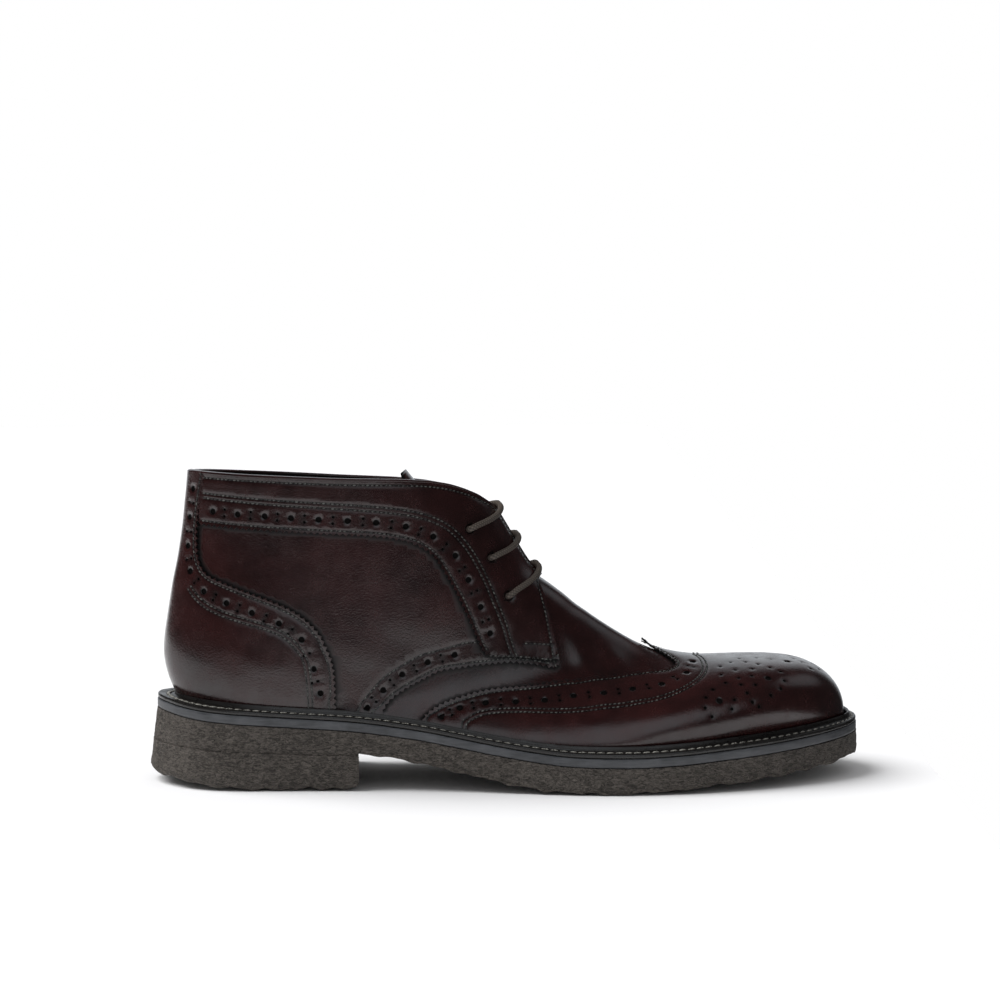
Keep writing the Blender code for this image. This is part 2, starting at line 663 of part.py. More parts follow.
def tongue_solid():
    """A leather sheet under the facings, leaning back into the boot at its top. Its
    tip falls away to the back, so that only a small corner stands above the collar."""
    room = WALL + LACE + 2 * LACE_GAP
    end = TONGUE_END + 1
    top = form_surface(TONGUE_TOP, math.pi, 1.0)
    rows = []
    for t in np.linspace(TONGUE_TOP, TONGUE_END, 10):
        ridge = form_surface(t, math.pi, 1.0)
        base = form_surface(t, 0.0)
        inward = Vector((base[0] - ridge[0], base[2] - ridge[2])).normalized()
        rows.append((ridge, inward))
    reach = TONGUE_DEPTH
    ridge_side = [(r[0] - 2 * n[0] * reach, r[2] - 2 * n[1] * reach) for r, n in rows]
    inner_side = [(r[0] + n[0] * reach, r[2] + n[1] * reach) for r, n in rows]
    sheet = last_form("tongue", -room, 1.0, end)
    combine(sheet, prism("tongue_cut", ridge_side + inner_side[::-1]), "INTERSECT")
    tip_x, tip_z, run = top[0] - room, top[2], 4 * TONGUE_DEPTH
    above = [(tip_x + run, tip_z), (tip_x, tip_z), (tip_x - run, tip_z - TONGUE_SLOPE * run),
             (tip_x - run, tip_z + run), (tip_x + run, tip_z + run)]
    combine(sheet, prism("tongue_tip", above), "DIFFERENCE")
    return combine(sheet, last_form("inside", -room - TONGUE, 1.0, end), "DIFFERENCE")


def across_angle(t, y):
    """Angle on the last at section t where the leather is y aside of the ridge."""
    angles = np.linspace(math.pi, math.pi / 2, 60)
    points = form_surface(np.full(60, t), angles)
    away = np.abs(points[:, 1] - points[0, 1])
    gone = float(np.interp(abs(y), away, math.pi - angles))
    return float(wrapped(math.pi - math.copysign(gone, y)))


def lace_path(hand):
    """One half of the lace: up from the bottom run, out of each eyelet, over the
    facing, across the throat and under the other facing."""
    under = -(WALL + LACE_GAP + LACE / 2)
    over = QUARTER_STEP + GAP + OVERLAY + LACE_GAP + LACE / 2
    edge = THROAT_WIDTH / 2
    near, past = edge - LACE / 2, edge + 0.8 * LACE
    upward = [find_on_last(s, rise) for s, rise in EYELETS]
    keys = [(upward[0][0], 0.0, under)]
    for i, (t, hole) in enumerate(upward):
        last = i + 1 == len(upward)
        rise = TOP_BAR_RISE if last else upward[i + 1][0] - t
        keys.append((t, hand * (hole - 0.5 * LACE), under))
        keys.append((t, hand * hole, 0.35 * under))
        keys.append((t, hand * hole, 0.75 * over))
        keys.append((t + 0.10 * rise, hand * (hole - 0.6 * LACE), over))
        keys.append((t + 0.50 * rise, hand * past, over))
        keys.append((t + 0.62 * rise, hand * near, over - 0.2 * LACE))
        keys.append((t + 0.74 * rise, 0.0, 0.18 * LACE))
        if last:
            keys.append((t + 0.78 * rise, -0.3 * hand * edge, 0.4 * under))
        else:
            keys.append((t + 0.84 * rise, -hand * near, under + 0.1 * LACE))
            keys.append((t + 0.92 * rise, -hand * past, under))
        hand = -hand
    keys = np.array(keys)
    knots = np.arange(len(keys))
    fine = np.linspace(0, len(keys) - 1, 2 * (len(keys) - 1) + 1)
    t, y, off = (curve(knots, keys[:, i])(fine) for i in range(3))
    return [form_point(a, across_angle(a, b), c) for a, b, c in zip(t, y, off)]


def laces_solid():
    first = tube("lace_a", lace_path(-1), LACE / 2)
    second = tube("lace_b", lace_path(1), LACE / 2)
    return combine(first, second, "UNION")


def one_side(piece, hand):
    """Keep a piece's outer half (-1) or inner half (1)."""
    bm = bmesh.new()
    bmesh.ops.create_cube(bm, size=2 * LENGTH)
    bmesh.ops.translate(bm, verts=bm.verts, vec=(0, hand * LENGTH, 0))
    return combine(piece, solid("half", bm), "INTERSECT")


def pierce(piece, hand):
    """Cut one side's eyelet holes through a piece."""
    deep = 4 * (WALL + OVERLAY)
    for s, rise in EYELETS:
        t, aside = find_on_last(s, rise)
        angle = across_angle(t, hand * aside)
        hole = rod("eyelet", form_point(t, angle, -deep), form_point(t, angle, deep),
                   EYELET / 2)
        combine(piece, hole, "DIFFERENCE")
    return piece


clear_scene()
boot = collection("chukka_boot")
cutters = collection("cutters")
form_curves = section_values()
lean_curve = curve(np.arange(len(TONGUE_LEAN)), TONGUE_LEAN)

leather = material("oxblood_leather", OXBLOOD, 0.25)
crepe = material("crepe_rubber", CREPE, 0.85)
slate = material("slate_midsole", SLATE, 0.45)
black = material("black_welt", BLACK, 0.30)
tan = material("tan_leather", TAN, 0.60)
taupe = material("taupe_cord", TAUPE, 0.80)

heel_end = HEEL_LENGTH / LENGTH
finish(slab("heel", heel_under, lambda s: sole_under(s) - GAP, CREPE_EDGE, EDGE_ROUND,
            end=heel_end), "heel", crepe)
finish(slab("outsole", sole_under, crepe_top, CREPE_EDGE, EDGE_ROUND),
       "outsole", crepe)
finish(slab("midsole", lambda s: crepe_top(s) + GAP, midsole_top, SQUARE_EDGE, 0.0),
       "midsole", slate)
finish(welt_solid(), "welt", black)
finish(insole_solid(), "insole", tan)

over_vamp = GAP
over_quarter = QUARTER_STEP + GAP
finish(pierce(pierce(upper_solid(), -1), 1), "upper", leather)
for label, hand in (("outer_facing", -1), ("inner_facing", 1)):
    facing = one_side(facing_solid(over_quarter), hand)
    finish(pierce(facing, hand), label, leather)
finish(overlay("counter", over_quarter, counter_outline(0.0)), "heel_counter", leather)
finish(overlay("cap", GAP, toe_cap_outline()), "toe_cap", leather)
finish(tongue_solid(), "tongue", leather)
finish(laces_solid(), "laces", taupe)
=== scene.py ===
import json
import math

import bmesh
import bpy
import numpy as np
from mathutils import Matrix, Vector, noise
from mathutils.geometry import delaunay_2d_cdt
from mathutils.kdtree import KDTree

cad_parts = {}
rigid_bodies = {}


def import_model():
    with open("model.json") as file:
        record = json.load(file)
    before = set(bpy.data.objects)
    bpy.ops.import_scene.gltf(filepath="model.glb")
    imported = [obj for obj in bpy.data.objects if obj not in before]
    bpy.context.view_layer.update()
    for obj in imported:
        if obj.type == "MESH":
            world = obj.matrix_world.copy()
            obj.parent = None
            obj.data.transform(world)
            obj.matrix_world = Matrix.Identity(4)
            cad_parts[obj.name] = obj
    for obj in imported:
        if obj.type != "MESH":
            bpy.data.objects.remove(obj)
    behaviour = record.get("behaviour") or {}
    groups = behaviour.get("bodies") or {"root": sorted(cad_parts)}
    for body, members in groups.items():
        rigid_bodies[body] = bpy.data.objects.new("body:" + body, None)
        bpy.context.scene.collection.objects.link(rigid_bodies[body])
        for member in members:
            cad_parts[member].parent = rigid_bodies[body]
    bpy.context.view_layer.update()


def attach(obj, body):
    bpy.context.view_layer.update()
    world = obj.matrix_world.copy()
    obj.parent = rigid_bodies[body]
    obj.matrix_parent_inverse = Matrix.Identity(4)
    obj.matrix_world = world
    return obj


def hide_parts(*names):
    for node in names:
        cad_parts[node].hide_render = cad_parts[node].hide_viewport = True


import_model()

# ---- Camera ----
# The photograph was taken with a long lens from just above the collar, square to the
# boot's outer side and turned a few degrees towards the heel.
CAMERA_TURN = math.radians(-4.0)
CAMERA_DROP = math.radians(3.94)
CAMERA_AWAY = 1.06
CAMERA_HEIGHT = 0.192
CAMERA_ASIDE = -0.00305
LENS = 88.74
SENSOR = 36.0

camera_data = bpy.data.cameras.new("camera")
camera_data.lens = LENS
camera_data.sensor_width = SENSOR
camera_data.clip_start = 0.05
camera_data.clip_end = 60.0
camera = bpy.data.objects.new("camera", camera_data)
bpy.context.scene.collection.objects.link(camera)
camera.location = (CAMERA_ASIDE + CAMERA_AWAY * math.sin(CAMERA_TURN),
                   -CAMERA_AWAY * math.cos(CAMERA_TURN), CAMERA_HEIGHT)
look = Vector((-math.sin(CAMERA_TURN) * math.cos(CAMERA_DROP),
               math.cos(CAMERA_TURN) * math.cos(CAMERA_DROP), -math.sin(CAMERA_DROP)))
camera.rotation_mode = "QUATERNION"
camera.rotation_quaternion = look.to_track_quat("-Z", "Y")
bpy.context.scene.camera = camera


# ---- Shop table and lights ----
# A white table that burns out to white, a broad soft light overhead and a little to
# the left, and a dim room around, which the polished leather mirrors as dark.
class Wire:
    """An output socket in a node tree. Sums written on it become Math nodes."""

    def __init__(self, nodes, socket):
        self.nodes, self.socket = nodes, socket

    def math(self, operation, a, b):
        return self.nodes.node("ShaderNodeMath", {"operation": operation}, {0: a, 1: b})

    def __add__(self, other):
        return self.math("ADD", self, other)

    def __mul__(self, other):
        return self.math("MULTIPLY", self, other)

    def __sub__(self, other):
        return self.math("SUBTRACT", self, other)

    def __rsub__(self, other):
        return self.math("SUBTRACT", other, self)

    __radd__, __rmul__ = __add__, __mul__


class Nodes:
    """A node tree that is put together node by node."""

    def __init__(self, tree):
        self.tree = tree

    def node(self, kind, settings=None, inputs=None, output=0):
        made = self.tree.nodes.new(kind)
        for key, value in (settings or {}).items():
            setattr(made, key, value)
        for key, value in (inputs or {}).items():
            if isinstance(value, Wire):
                self.tree.links.new(value.socket, made.inputs[key])
            else:
                made.inputs[key].default_value = value
        return Wire(self, made.outputs[output])


class Finish(Nodes):
    """A Principled material, with helpers for the textures that leather and rubber need."""

    def __init__(self, name, **constants):
        self.material = bpy.data.materials.new(name)
        self.material.use_nodes = True
        super().__init__(self.material.node_tree)
        self.shader = self.tree.nodes["Principled BSDF"]
        self.place = self.node("ShaderNodeTexCoord", output="Object")
        for socket, value in constants.items():
            self.shader.inputs[socket.replace("_", " ")].default_value = value

    def grain(self, scale, detail=3.0, stretch=(1, 1, 1), rough=0.55, warp=0.0):
        """Noise in metres of the boot: scale is lumps per metre."""
        place = self.node("ShaderNodeMapping", None, {"Vector": self.place, "Scale": stretch})
        return self.node("ShaderNodeTexNoise", None,
                         {"Vector": place, "Scale": scale, "Detail": detail,
                          "Roughness": rough, "Distortion": warp}, "Fac")

    def cells(self, scale, stretch=(1, 1, 1)):
        """Distance to the nearest of scattered points, of which scale fit in a metre."""
        place = self.node("ShaderNodeMapping", None, {"Vector": self.place, "Scale": stretch})
        return self.node("ShaderNodeTexVoronoi", None, {"Vector": place, "Scale": scale},
                         "Distance")

    def attribute(self, name):
        """A value that the mesh carries at its corners."""
        return self.node("ShaderNodeAttribute", {"attribute_name": name}, output="Fac")

    def spread(self, wire, low, high, to_low=0.0, to_high=1.0):
        """A value stretched from one range to another and held inside it."""
        return self.node("ShaderNodeMapRange", None,
                         {"Value": wire, "From Min": low, "From Max": high,
                          "To Min": to_low, "To Max": to_high})

    def mix(self, share, first, second):
        return self.node("ShaderNodeMix", {"data_type": "RGBA"},
                         {0: share, 6: first, 7: second}, 2)

    def relief(self, height, distance, strength=1.0):
        """Bump from a height, in metres for a height of 1."""
        return self.node("ShaderNodeBump", None, {"Height": height, "Distance": distance,
                                                  "Strength": strength})

    def set(self, **wires):
        for socket, wire in wires.items():
            self.tree.links.new(wire.socket, self.shader.inputs[socket.replace("_", " ")])
        return self.material


def shown(name, bm, finish, sharp=40.0, stands_for=()):
    """A bmesh as a finished piece of the boot that rides on its body."""
    mesh = bpy.data.meshes.new(name)
    bm.to_mesh(mesh)
    bm.free()
    piece = bpy.data.objects.new(name, mesh)
    bpy.context.scene.collection.objects.link(piece)
    mesh.materials.append(finish)
    mesh.shade_smooth()
    mesh.set_sharp_from_angle(angle=math.radians(sharp))
    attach(piece, "root")
    if stands_for:
        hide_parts(*stands_for)
    return piece


TABLE_RADIUS = 2.2
TABLE_FRONT = 0.45         # its front edge lies just below the picture
TABLE_RIGHT = 0.188        # it ends here, so the toe doesn't mirror it
TABLE_SKEW = 0.10
TABLE_DROP = 0.0002        # below the sole
SUN_FROM = Vector((-0.72, 0.10, 1.0))
SUN_WIDTH = math.radians(48)
SUN_POWER = 3.2

bm = bmesh.new()
bmesh.ops.create_circle(bm, cap_ends=True, segments=96, radius=TABLE_RADIUS)
bmesh.ops.translate(bm, verts=bm.verts, vec=(0, TABLE_RADIUS - TABLE_FRONT, -TABLE_DROP))
bmesh.ops.bisect_plane(bm, geom=[*bm.verts, *bm.edges, *bm.faces], clear_outer=True,
                       plane_co=(TABLE_RIGHT, 0, 0), plane_no=(1.0, -TABLE_SKEW, 0))
table_mesh = bpy.data.meshes.new("table_top")
bm.to_mesh(table_mesh)
bm.free()
table_top = bpy.data.objects.new("table_top", table_mesh)
bpy.context.scene.collection.objects.link(table_top)
white = Finish("white_table", Roughness=1.0, Specular_IOR_Level=0.0,
               Base_Color=(0.86, 0.86, 0.87, 1))
table_mesh.materials.append(white.material)

sun_data = bpy.data.lights.new("overhead", "SUN")
sun_data.energy = SUN_POWER
sun_data.angle = SUN_WIDTH
sun = bpy.data.objects.new("overhead", sun_data)
bpy.context.scene.collection.objects.link(sun)
sun.rotation_mode = "QUATERNION"
sun.rotation_quaternion = (-SUN_FROM).to_track_quat("-Z", "Y")
sun.visible_glossy = False  # its diffuser is matt, so the polish shows no hot spot

# What the polish mirrors: a white cloth behind the boot, a card above its toe and a
# card in front. Each is a direction, the cosines where it starts and is full, its power.
CARDS = (
    ((0.0, 0.99, 0.12), 0.80, 0.93, 0.70),
    ((0.66, 0.29, 0.69), 0.93, 0.985, 0.40),
    ((0.0, -0.87, 0.50), 0.86, 0.96, 0.85),
)
DARK_ROOM = 0.02           # what the polish mirrors between the cards
ROOM_FILL = 0.44           # soft light from all round
WHITE = (1, 1, 1, 1)
COOL_WHITE = (0.9, 0.95, 1.0, 1)

world = bpy.data.worlds.new("room")
bpy.context.scene.world = world
world.use_nodes = True
room = Nodes(world.node_tree)
heading = room.node("ShaderNodeTexCoord", output="Generated")
glow = DARK_ROOM
for direction, start, full, power in CARDS:
    towards = room.node("ShaderNodeVectorMath", {"operation": "DOT_PRODUCT"},
                        {0: heading, 1: direction}, "Value")
    glow = glow + room.node("ShaderNodeMapRange", None, {"Value": towards, "From Min": start,
                                                         "From Max": full, "To Max": power})
backdrop, fill, cards = (
    room.node("ShaderNodeBackground", None, {"Color": colour, "Strength": strength})
    for colour, strength in ((WHITE, 1.0), (WHITE, ROOM_FILL), (COOL_WHITE, glow)))
glossy, direct = (room.node("ShaderNodeLightPath", output=ray)
                  for ray in ("Is Glossy Ray", "Is Camera Ray"))
lit = room.node("ShaderNodeMixShader", None, {"Fac": glossy, 1: fill, 2: cards})
every_ray = room.node("ShaderNodeMixShader", None, {"Fac": direct, 1: lit, 2: backdrop})
room.tree.links.new(every_ray.socket, room.tree.nodes["World Output"].inputs["Surface"])
bpy.context.scene.view_settings.view_transform = "Standard"

# ---- Crepe outsole and heel ----
# Moulded plantation-crepe rubber, grey-brown with a crinkled skin and a wavy lower
# edge. The heel block is a second piece, cemented under the outsole.
LENGTH = 0.3085
BALL_WIDTH = 0.1115
SOLE_HEIGHT = 0.0316
HEEL_LENGTH = 0.0895
GAP = 0.0003               # cement between two layers
MIDSOLE = 0.0037
WELT = 0.0020
# Share of length, outer and inner edge as shares of the ball's width.
OUTLINE = (
    (0.000, 0.014, 0.014), (0.020, -0.138, 0.168), (0.050, -0.232, 0.262),
    (0.080, -0.281, 0.311), (0.120, -0.309, 0.338), (0.200, -0.321, 0.338),
    (0.300, -0.339, 0.321), (0.400, -0.375, 0.312), (0.500, -0.433, 0.357),
    (0.600, -0.489, 0.442), (0.650, -0.500, 0.478), (0.720, -0.487, 0.500),
    (0.800, -0.440, 0.486), (0.880, -0.352, 0.430), (0.920, -0.288, 0.382),
    (0.950, -0.222, 0.320), (0.980, -0.130, 0.226), (0.992, -0.066, 0.160),
    (1.000, 0.046, 0.046),
)
# Share of length, under and upper side of the crepe as shares of the sole's height, and
# how far its side leans in.
SOLE = (
    (0.000, 0.570, 1.000, 0.122), (0.080, 0.525, 0.902, 0.075),
    (0.180, 0.490, 0.838, 0.050), (0.284, 0.460, 0.776, 0.036),
    (0.330, 0.415, 0.725, 0.028), (0.374, 0.351, 0.665, 0.024),
    (0.428, 0.228, 0.570, 0.020), (0.482, 0.122, 0.475, 0.018),
    (0.522, 0.046, 0.416, 0.018), (0.585, 0.000, 0.355, 0.018),
    (0.665, 0.000, 0.347, 0.018), (0.726, 0.030, 0.370, 0.018),
    (0.783, 0.080, 0.411, 0.018), (0.842, 0.127, 0.448, 0.018),
    (0.904, 0.176, 0.496, 0.018), (0.955, 0.224, 0.538, 0.018),
    (1.000, 0.262, 0.575, 0.018),
)
# Share of length, and the heel's under side as a share of the sole's height.
HEEL_UNDER = ((0.000, 0.120), (0.030, 0.085), (0.066, 0.048), (0.101, 0.024),
              (0.150, 0.000), (0.300, 0.000))


def eased(knots, values, blur):
    """A smooth curve through rows of a table: cubic between them, then blurred by a
    distance in the table's own measure, so that polished leather shows no kink."""
    knots, values = np.asarray(knots, float), np.asarray(values, float)
    steps = np.diff(knots)
    rises = np.diff(values) / steps
    slopes = np.zeros(len(knots))
    slopes[0], slopes[-1] = rises[0], rises[-1]
    for i in range(1, len(knots) - 1):
        if rises[i - 1] * rises[i] > 0:
            first, second = 2 * steps[i] + steps[i - 1], steps[i] + 2 * steps[i - 1]
            slopes[i] = (first + second) / (first / rises[i - 1] + second / rises[i])
    fine = np.linspace(knots[0], knots[-1], 2001)
    i = np.clip(np.searchsorted(knots, fine) - 1, 0, len(steps) - 1)
    t = (fine - knots[i]) / steps[i]
    line = (values[i] * (1 + 2 * t) * (1 - t) ** 2 + values[i + 1] * t * t * (3 - 2 * t)
            + steps[i] * t * (1 - t) * (slopes[i] * (1 - t) - slopes[i + 1] * t))
    if blur:
        reach = max(2, int(3 * blur / (fine[1] - fine[0])))
        bell = np.exp(-0.5 * (np.arange(-reach, reach + 1) / (reach / 3)) ** 2)
        padded = np.concatenate([2 * line[0] - line[reach:0:-1], line,
                                 2 * line[-1] - line[-2:-reach - 2:-1]])
        line = np.convolve(padded, bell / bell.sum(), "valid")
    return lambda x: np.interp(x, fine, line)


def column(table, place):
    return np.array([row[place] for row in table])


def run_along(points):
    """How far along a line each of its points lies."""
    return np.concatenate([[0], np.cumsum(np.linalg.norm(np.diff(points, axis=0), axis=1))])


def points_at(values, run, at):
    """Values that are given along a run, at other places along it."""
    return np.stack([np.interp(at, run, values[:, k]) for k in range(values.shape[1])], 1)


def ring_closed(ring):
    """A ring of points with its first point once more at the end."""
    return np.concatenate([ring, ring[:1]])


sole_under, crepe_top, draw_in = (
    eased(column(SOLE, 0), SOLE_HEIGHT * column(SOLE, k), 0.012) for k in (1, 2, 3))
heel_under = eased(column(HEEL_UNDER, 0), SOLE_HEIGHT * column(HEEL_UNDER, 1), 0.008)


def midsole_top(s):
    return crepe_top(s) + GAP + MIDSOLE


def welt_top(s):
    return midsole_top(s) + GAP + WELT


def feather(s):
    """Height of the upper's lower edge, on the welt."""
    return welt_top(s) + GAP


def station(s):
    return (np.asarray(s) - 0.5) * LENGTH


def share(x):
    return np.asarray(x) / LENGTH + 0.5


bends = np.arccos(1 - 2 * column(OUTLINE, 0))
outer_edge, inner_edge = (eased(bends, BALL_WIDTH * column(OUTLINE, k), 0.03) for k in (1, 2))


LOOP_HALF = 1440           # points on each side of the sole


def sole_loop(turns, inset, height):
    """Points round the sole, from the heel back by the outer side to the toe and back
    by the inner side, as turns go from 0 to 1. They lie inset from the outline, and
    lean in with the sole's side up to a height that varies along the boot."""
    fine = np.linspace(0, 2 * math.pi, 2 * LOOP_HALF + 1)[:-1]
    bend = np.minimum(fine, 2 * math.pi - fine)
    x = station((1 - np.cos(fine)) / 2)
    y = np.where(fine < math.pi, outer_edge(bend), inner_edge(bend))
    flat = np.stack([x, y], 1)
    ahead = np.roll(flat, -1, 0) - np.roll(flat, 1, 0)
    out = np.stack([ahead[:, 1], -ahead[:, 0]], 1)
    out /= np.linalg.norm(out, axis=1)[:, None]
    lean = draw_in(share(x)) * np.clip(height(share(x)) / crepe_top(share(x)), 0, 1)
    loop = ring_closed(flat - out * (inset + lean)[:, None])
    along = run_along(loop)
    half = along[LOOP_HALF] / along[-1]
    even = np.where(turns < 0.5, turns * 2 * half, half + (turns - 0.5) * 2 * (1 - half))
    spot = points_at(loop, along, even * along[-1])
    return np.column_stack([spot, height(share(spot[:, 0]))])


def laid_grid(bm, across, along, shape):
    """A grid whose points are placed by shape(u, v), with u and v from 0 to 1."""
    made = bmesh.ops.create_grid(bm, x_segments=across, y_segments=along, size=0.5)["verts"]
    flat = np.array([vert.co for vert in made]) + 0.5
    for vert, point in zip(made, shape(flat[:, 0], flat[:, 1])):
        vert.co = point
    return made


def closed(bm, weld=1e-6):
    """Weld the seams of laid grids and turn every face outwards."""
    bmesh.ops.remove_doubles(bm, verts=bm.verts, dist=weld)
    bmesh.ops.dissolve_degenerate(bm, dist=weld / 10, edges=bm.edges)
    bmesh.ops.recalc_face_normals(bm, faces=bm.faces)
    return bm


def sole_layer(levels, steps, rows, end=1.0):
    """A layer of the sole from its levels, bottom to top: (inset, height). One that
    ends short of the toe has a flat breast there, of as many steps as rows."""
    straight = rows / steps if end < 1.0 else 0.0
    side = (1 - straight) / 2
    bm = bmesh.new()
    rings = []
    for inset, height in levels:
        def ring(turns, inset=inset, height=height):
            if end == 1.0:
                return sole_loop(turns, inset, height)
            fine = np.linspace(0, 1, 4001)
            breast = station(end) - inset
            past = fine[sole_loop(fine, inset, height)[:, 0] > breast]
            near, far = past[0], past[-1]
            points = sole_loop(np.interp(turns, [0, side, 1 - side, 1],
                                         [0, near, far, 1]), inset, height)
            corners = sole_loop(np.array([near, far]), inset, height)[:, 1]
            across = (turns - side) / straight
            flat = (across > -1e-6) & (across < 1 + 1e-6)
            points[flat, 0] = breast
            points[flat, 1] = corners[0] + (corners[1] - corners[0]) * across[flat]
            points[:, 2] = height(share(points[:, 0]))
            return points
        rings.append(ring)

    def wall(u, v):
        place = v * (len(levels) - 1)
        low = np.clip(place.astype(int), 0, len(levels) - 2)
        part = (place - low)[:, None]
        every = np.stack([ring(u) for ring in rings])
        index = np.arange(len(u))
        return every[low, index] * (1 - part) + every[low + 1, index] * part

    laid_grid(bm, steps, 2 * (len(levels) - 1), wall)
    for ring in (rings[0], rings[-1]):
        laid_grid(bm, round(steps * side), rows, lambda u, v, ring=ring: (
            ring(u * side) * (1 - v)[:, None] + ring(1 - u * side) * v[:, None]))
    return closed(bm, 2e-5)


def crinkle(bm, height, bite, wave, bonded=-1.0):
    """Rough a crepe piece: lumps on its skin, and waves along its lower edge, but not
    where it is cemented to another, up to the share bonded."""
    bm.normal_update()
    for vert in bm.verts:
        x, y, z = vert.co
        if abs(vert.normal.z) > 0.7 and share(x) < bonded:
            continue
        up = max(0.0, min(1.0, (z - float(height(share(x)))) / 0.004))
        lump = noise.noise(Vector((x * 380, y * 380, z * 900)))
        lump += 0.6 * noise.noise(Vector((x * 800, y * 800, z * 1900)))
        swell = 1.6 * noise.noise(Vector((x * 170, y * 170, 3.7)))
        vert.co += vert.normal * (bite * lump)
        if up < 1.0 and vert.normal.z < 0.7 and share(x) > bonded:
            vert.co.z += wave * (1 - up) * (0.9 + swell + 0.5 * lump)
            vert.co.z = max(vert.co.z, 0.0)


crepe = Finish("crepe_rubber", Specular_IOR_Level=0.35)
lumps = crepe.grain(480, 4.0, (1, 1, 2.6), 0.6, 1.2)
pits = crepe.cells(900, (1, 1, 2.2))
tone = crepe.grain(60, 3.0)
# The colour follows the lumps of the bump: darker in its troughs and lighter on its crests, painted
# shade and light, with a little random tone.
painted_crinkle_shade = crepe.spread(lumps * 0.85 + tone * 0.15, 0.40, 0.60)
crepe.set(
    Base_Color=crepe.mix(painted_crinkle_shade, (0.036, 0.031, 0.027, 1), (0.135, 0.119, 0.105, 1)),
    Roughness=crepe.spread(lumps, 0.3, 0.7, 0.62, 0.86),
    Normal=crepe.relief(lumps + pits * 0.35, 0.0016, 1.0))

HEEL_END = HEEL_LENGTH / LENGTH
EDGE_ROUND = 0.0014


def between(low, high, part):
    return lambda s: low(s) + (high(s) - low(s)) * part


def heel_top(s):
    return sole_under(s) - GAP / 8


def edged(shape, draw, low, high):
    """Levels of a sole layer whose edge is rounded: shape gives how far each is drawn
    in, as a share of draw, and its height, as a share from low to high."""
    return [(draw * drawn, between(low, high, part)) for drawn, part in shape]


crepe_edge = ((1.0, 0.0), (0.35, 0.07), (0.06, 0.16), (0.0, 0.4), (0.0, 0.7), (0.0, 1.0))
heel = sole_layer(edged(crepe_edge, EDGE_ROUND, heel_under, heel_top), 300, 24, HEEL_END)
crinkle(heel, heel_under, 0.00034, 0.0009)
shown("crepe_heel", heel, crepe.material, stands_for=["heel"])
outsole = sole_layer(edged(crepe_edge, EDGE_ROUND * 0.25, sole_under, crepe_top), 760, 30)
crinkle(outsole, sole_under, 0.00036, 0.0008, HEEL_END)
shown("crepe_outsole", outsole, crepe.material, stands_for=["outsole"])

# ---- Midsole ----
# Smooth slate-black rubber, edge-trimmed, with a soft shine and fine scuffs along it.
slate = Finish("slate_midsole", Specular_IOR_Level=0.45)
scuff = slate.grain(500, 3.0, (0.25, 0.25, 2.0), 0.6)
dust = slate.grain(90, 3.0)
slate.set(
    Base_Color=slate.mix(slate.spread(dust * 0.5 + scuff * 0.5, 0.35, 0.68),
                         (0.034, 0.036, 0.040, 1), (0.090, 0.094, 0.102, 1)),
    Roughness=slate.spread(scuff, 0.3, 0.7, 0.36, 0.56),
    Normal=slate.relief(scuff, 0.00012, 0.6))


def midsole_under(s):
    return crepe_top(s) + GAP


trimmed_edge = ((0.35, 0.0), (0.0, 0.12), (0.0, 0.5), (0.0, 0.88), (0.35, 1.0))
midsole = sole_layer(edged(trimmed_edge, 0.001, midsole_under, midsole_top), 520, 8)
shown("midsole_edge", midsole, slate.material, stands_for=["midsole"])

# ---- The last ----
# The wooden form that every leather of the upper is pulled over; it isn't shown. A place
# on it is a section number, which runs from the heel back and throat to the toe, and a
# turn from the heel back round by the outer side, with pi at the ridge of the instep.
COLLAR_RISE = 0.0945
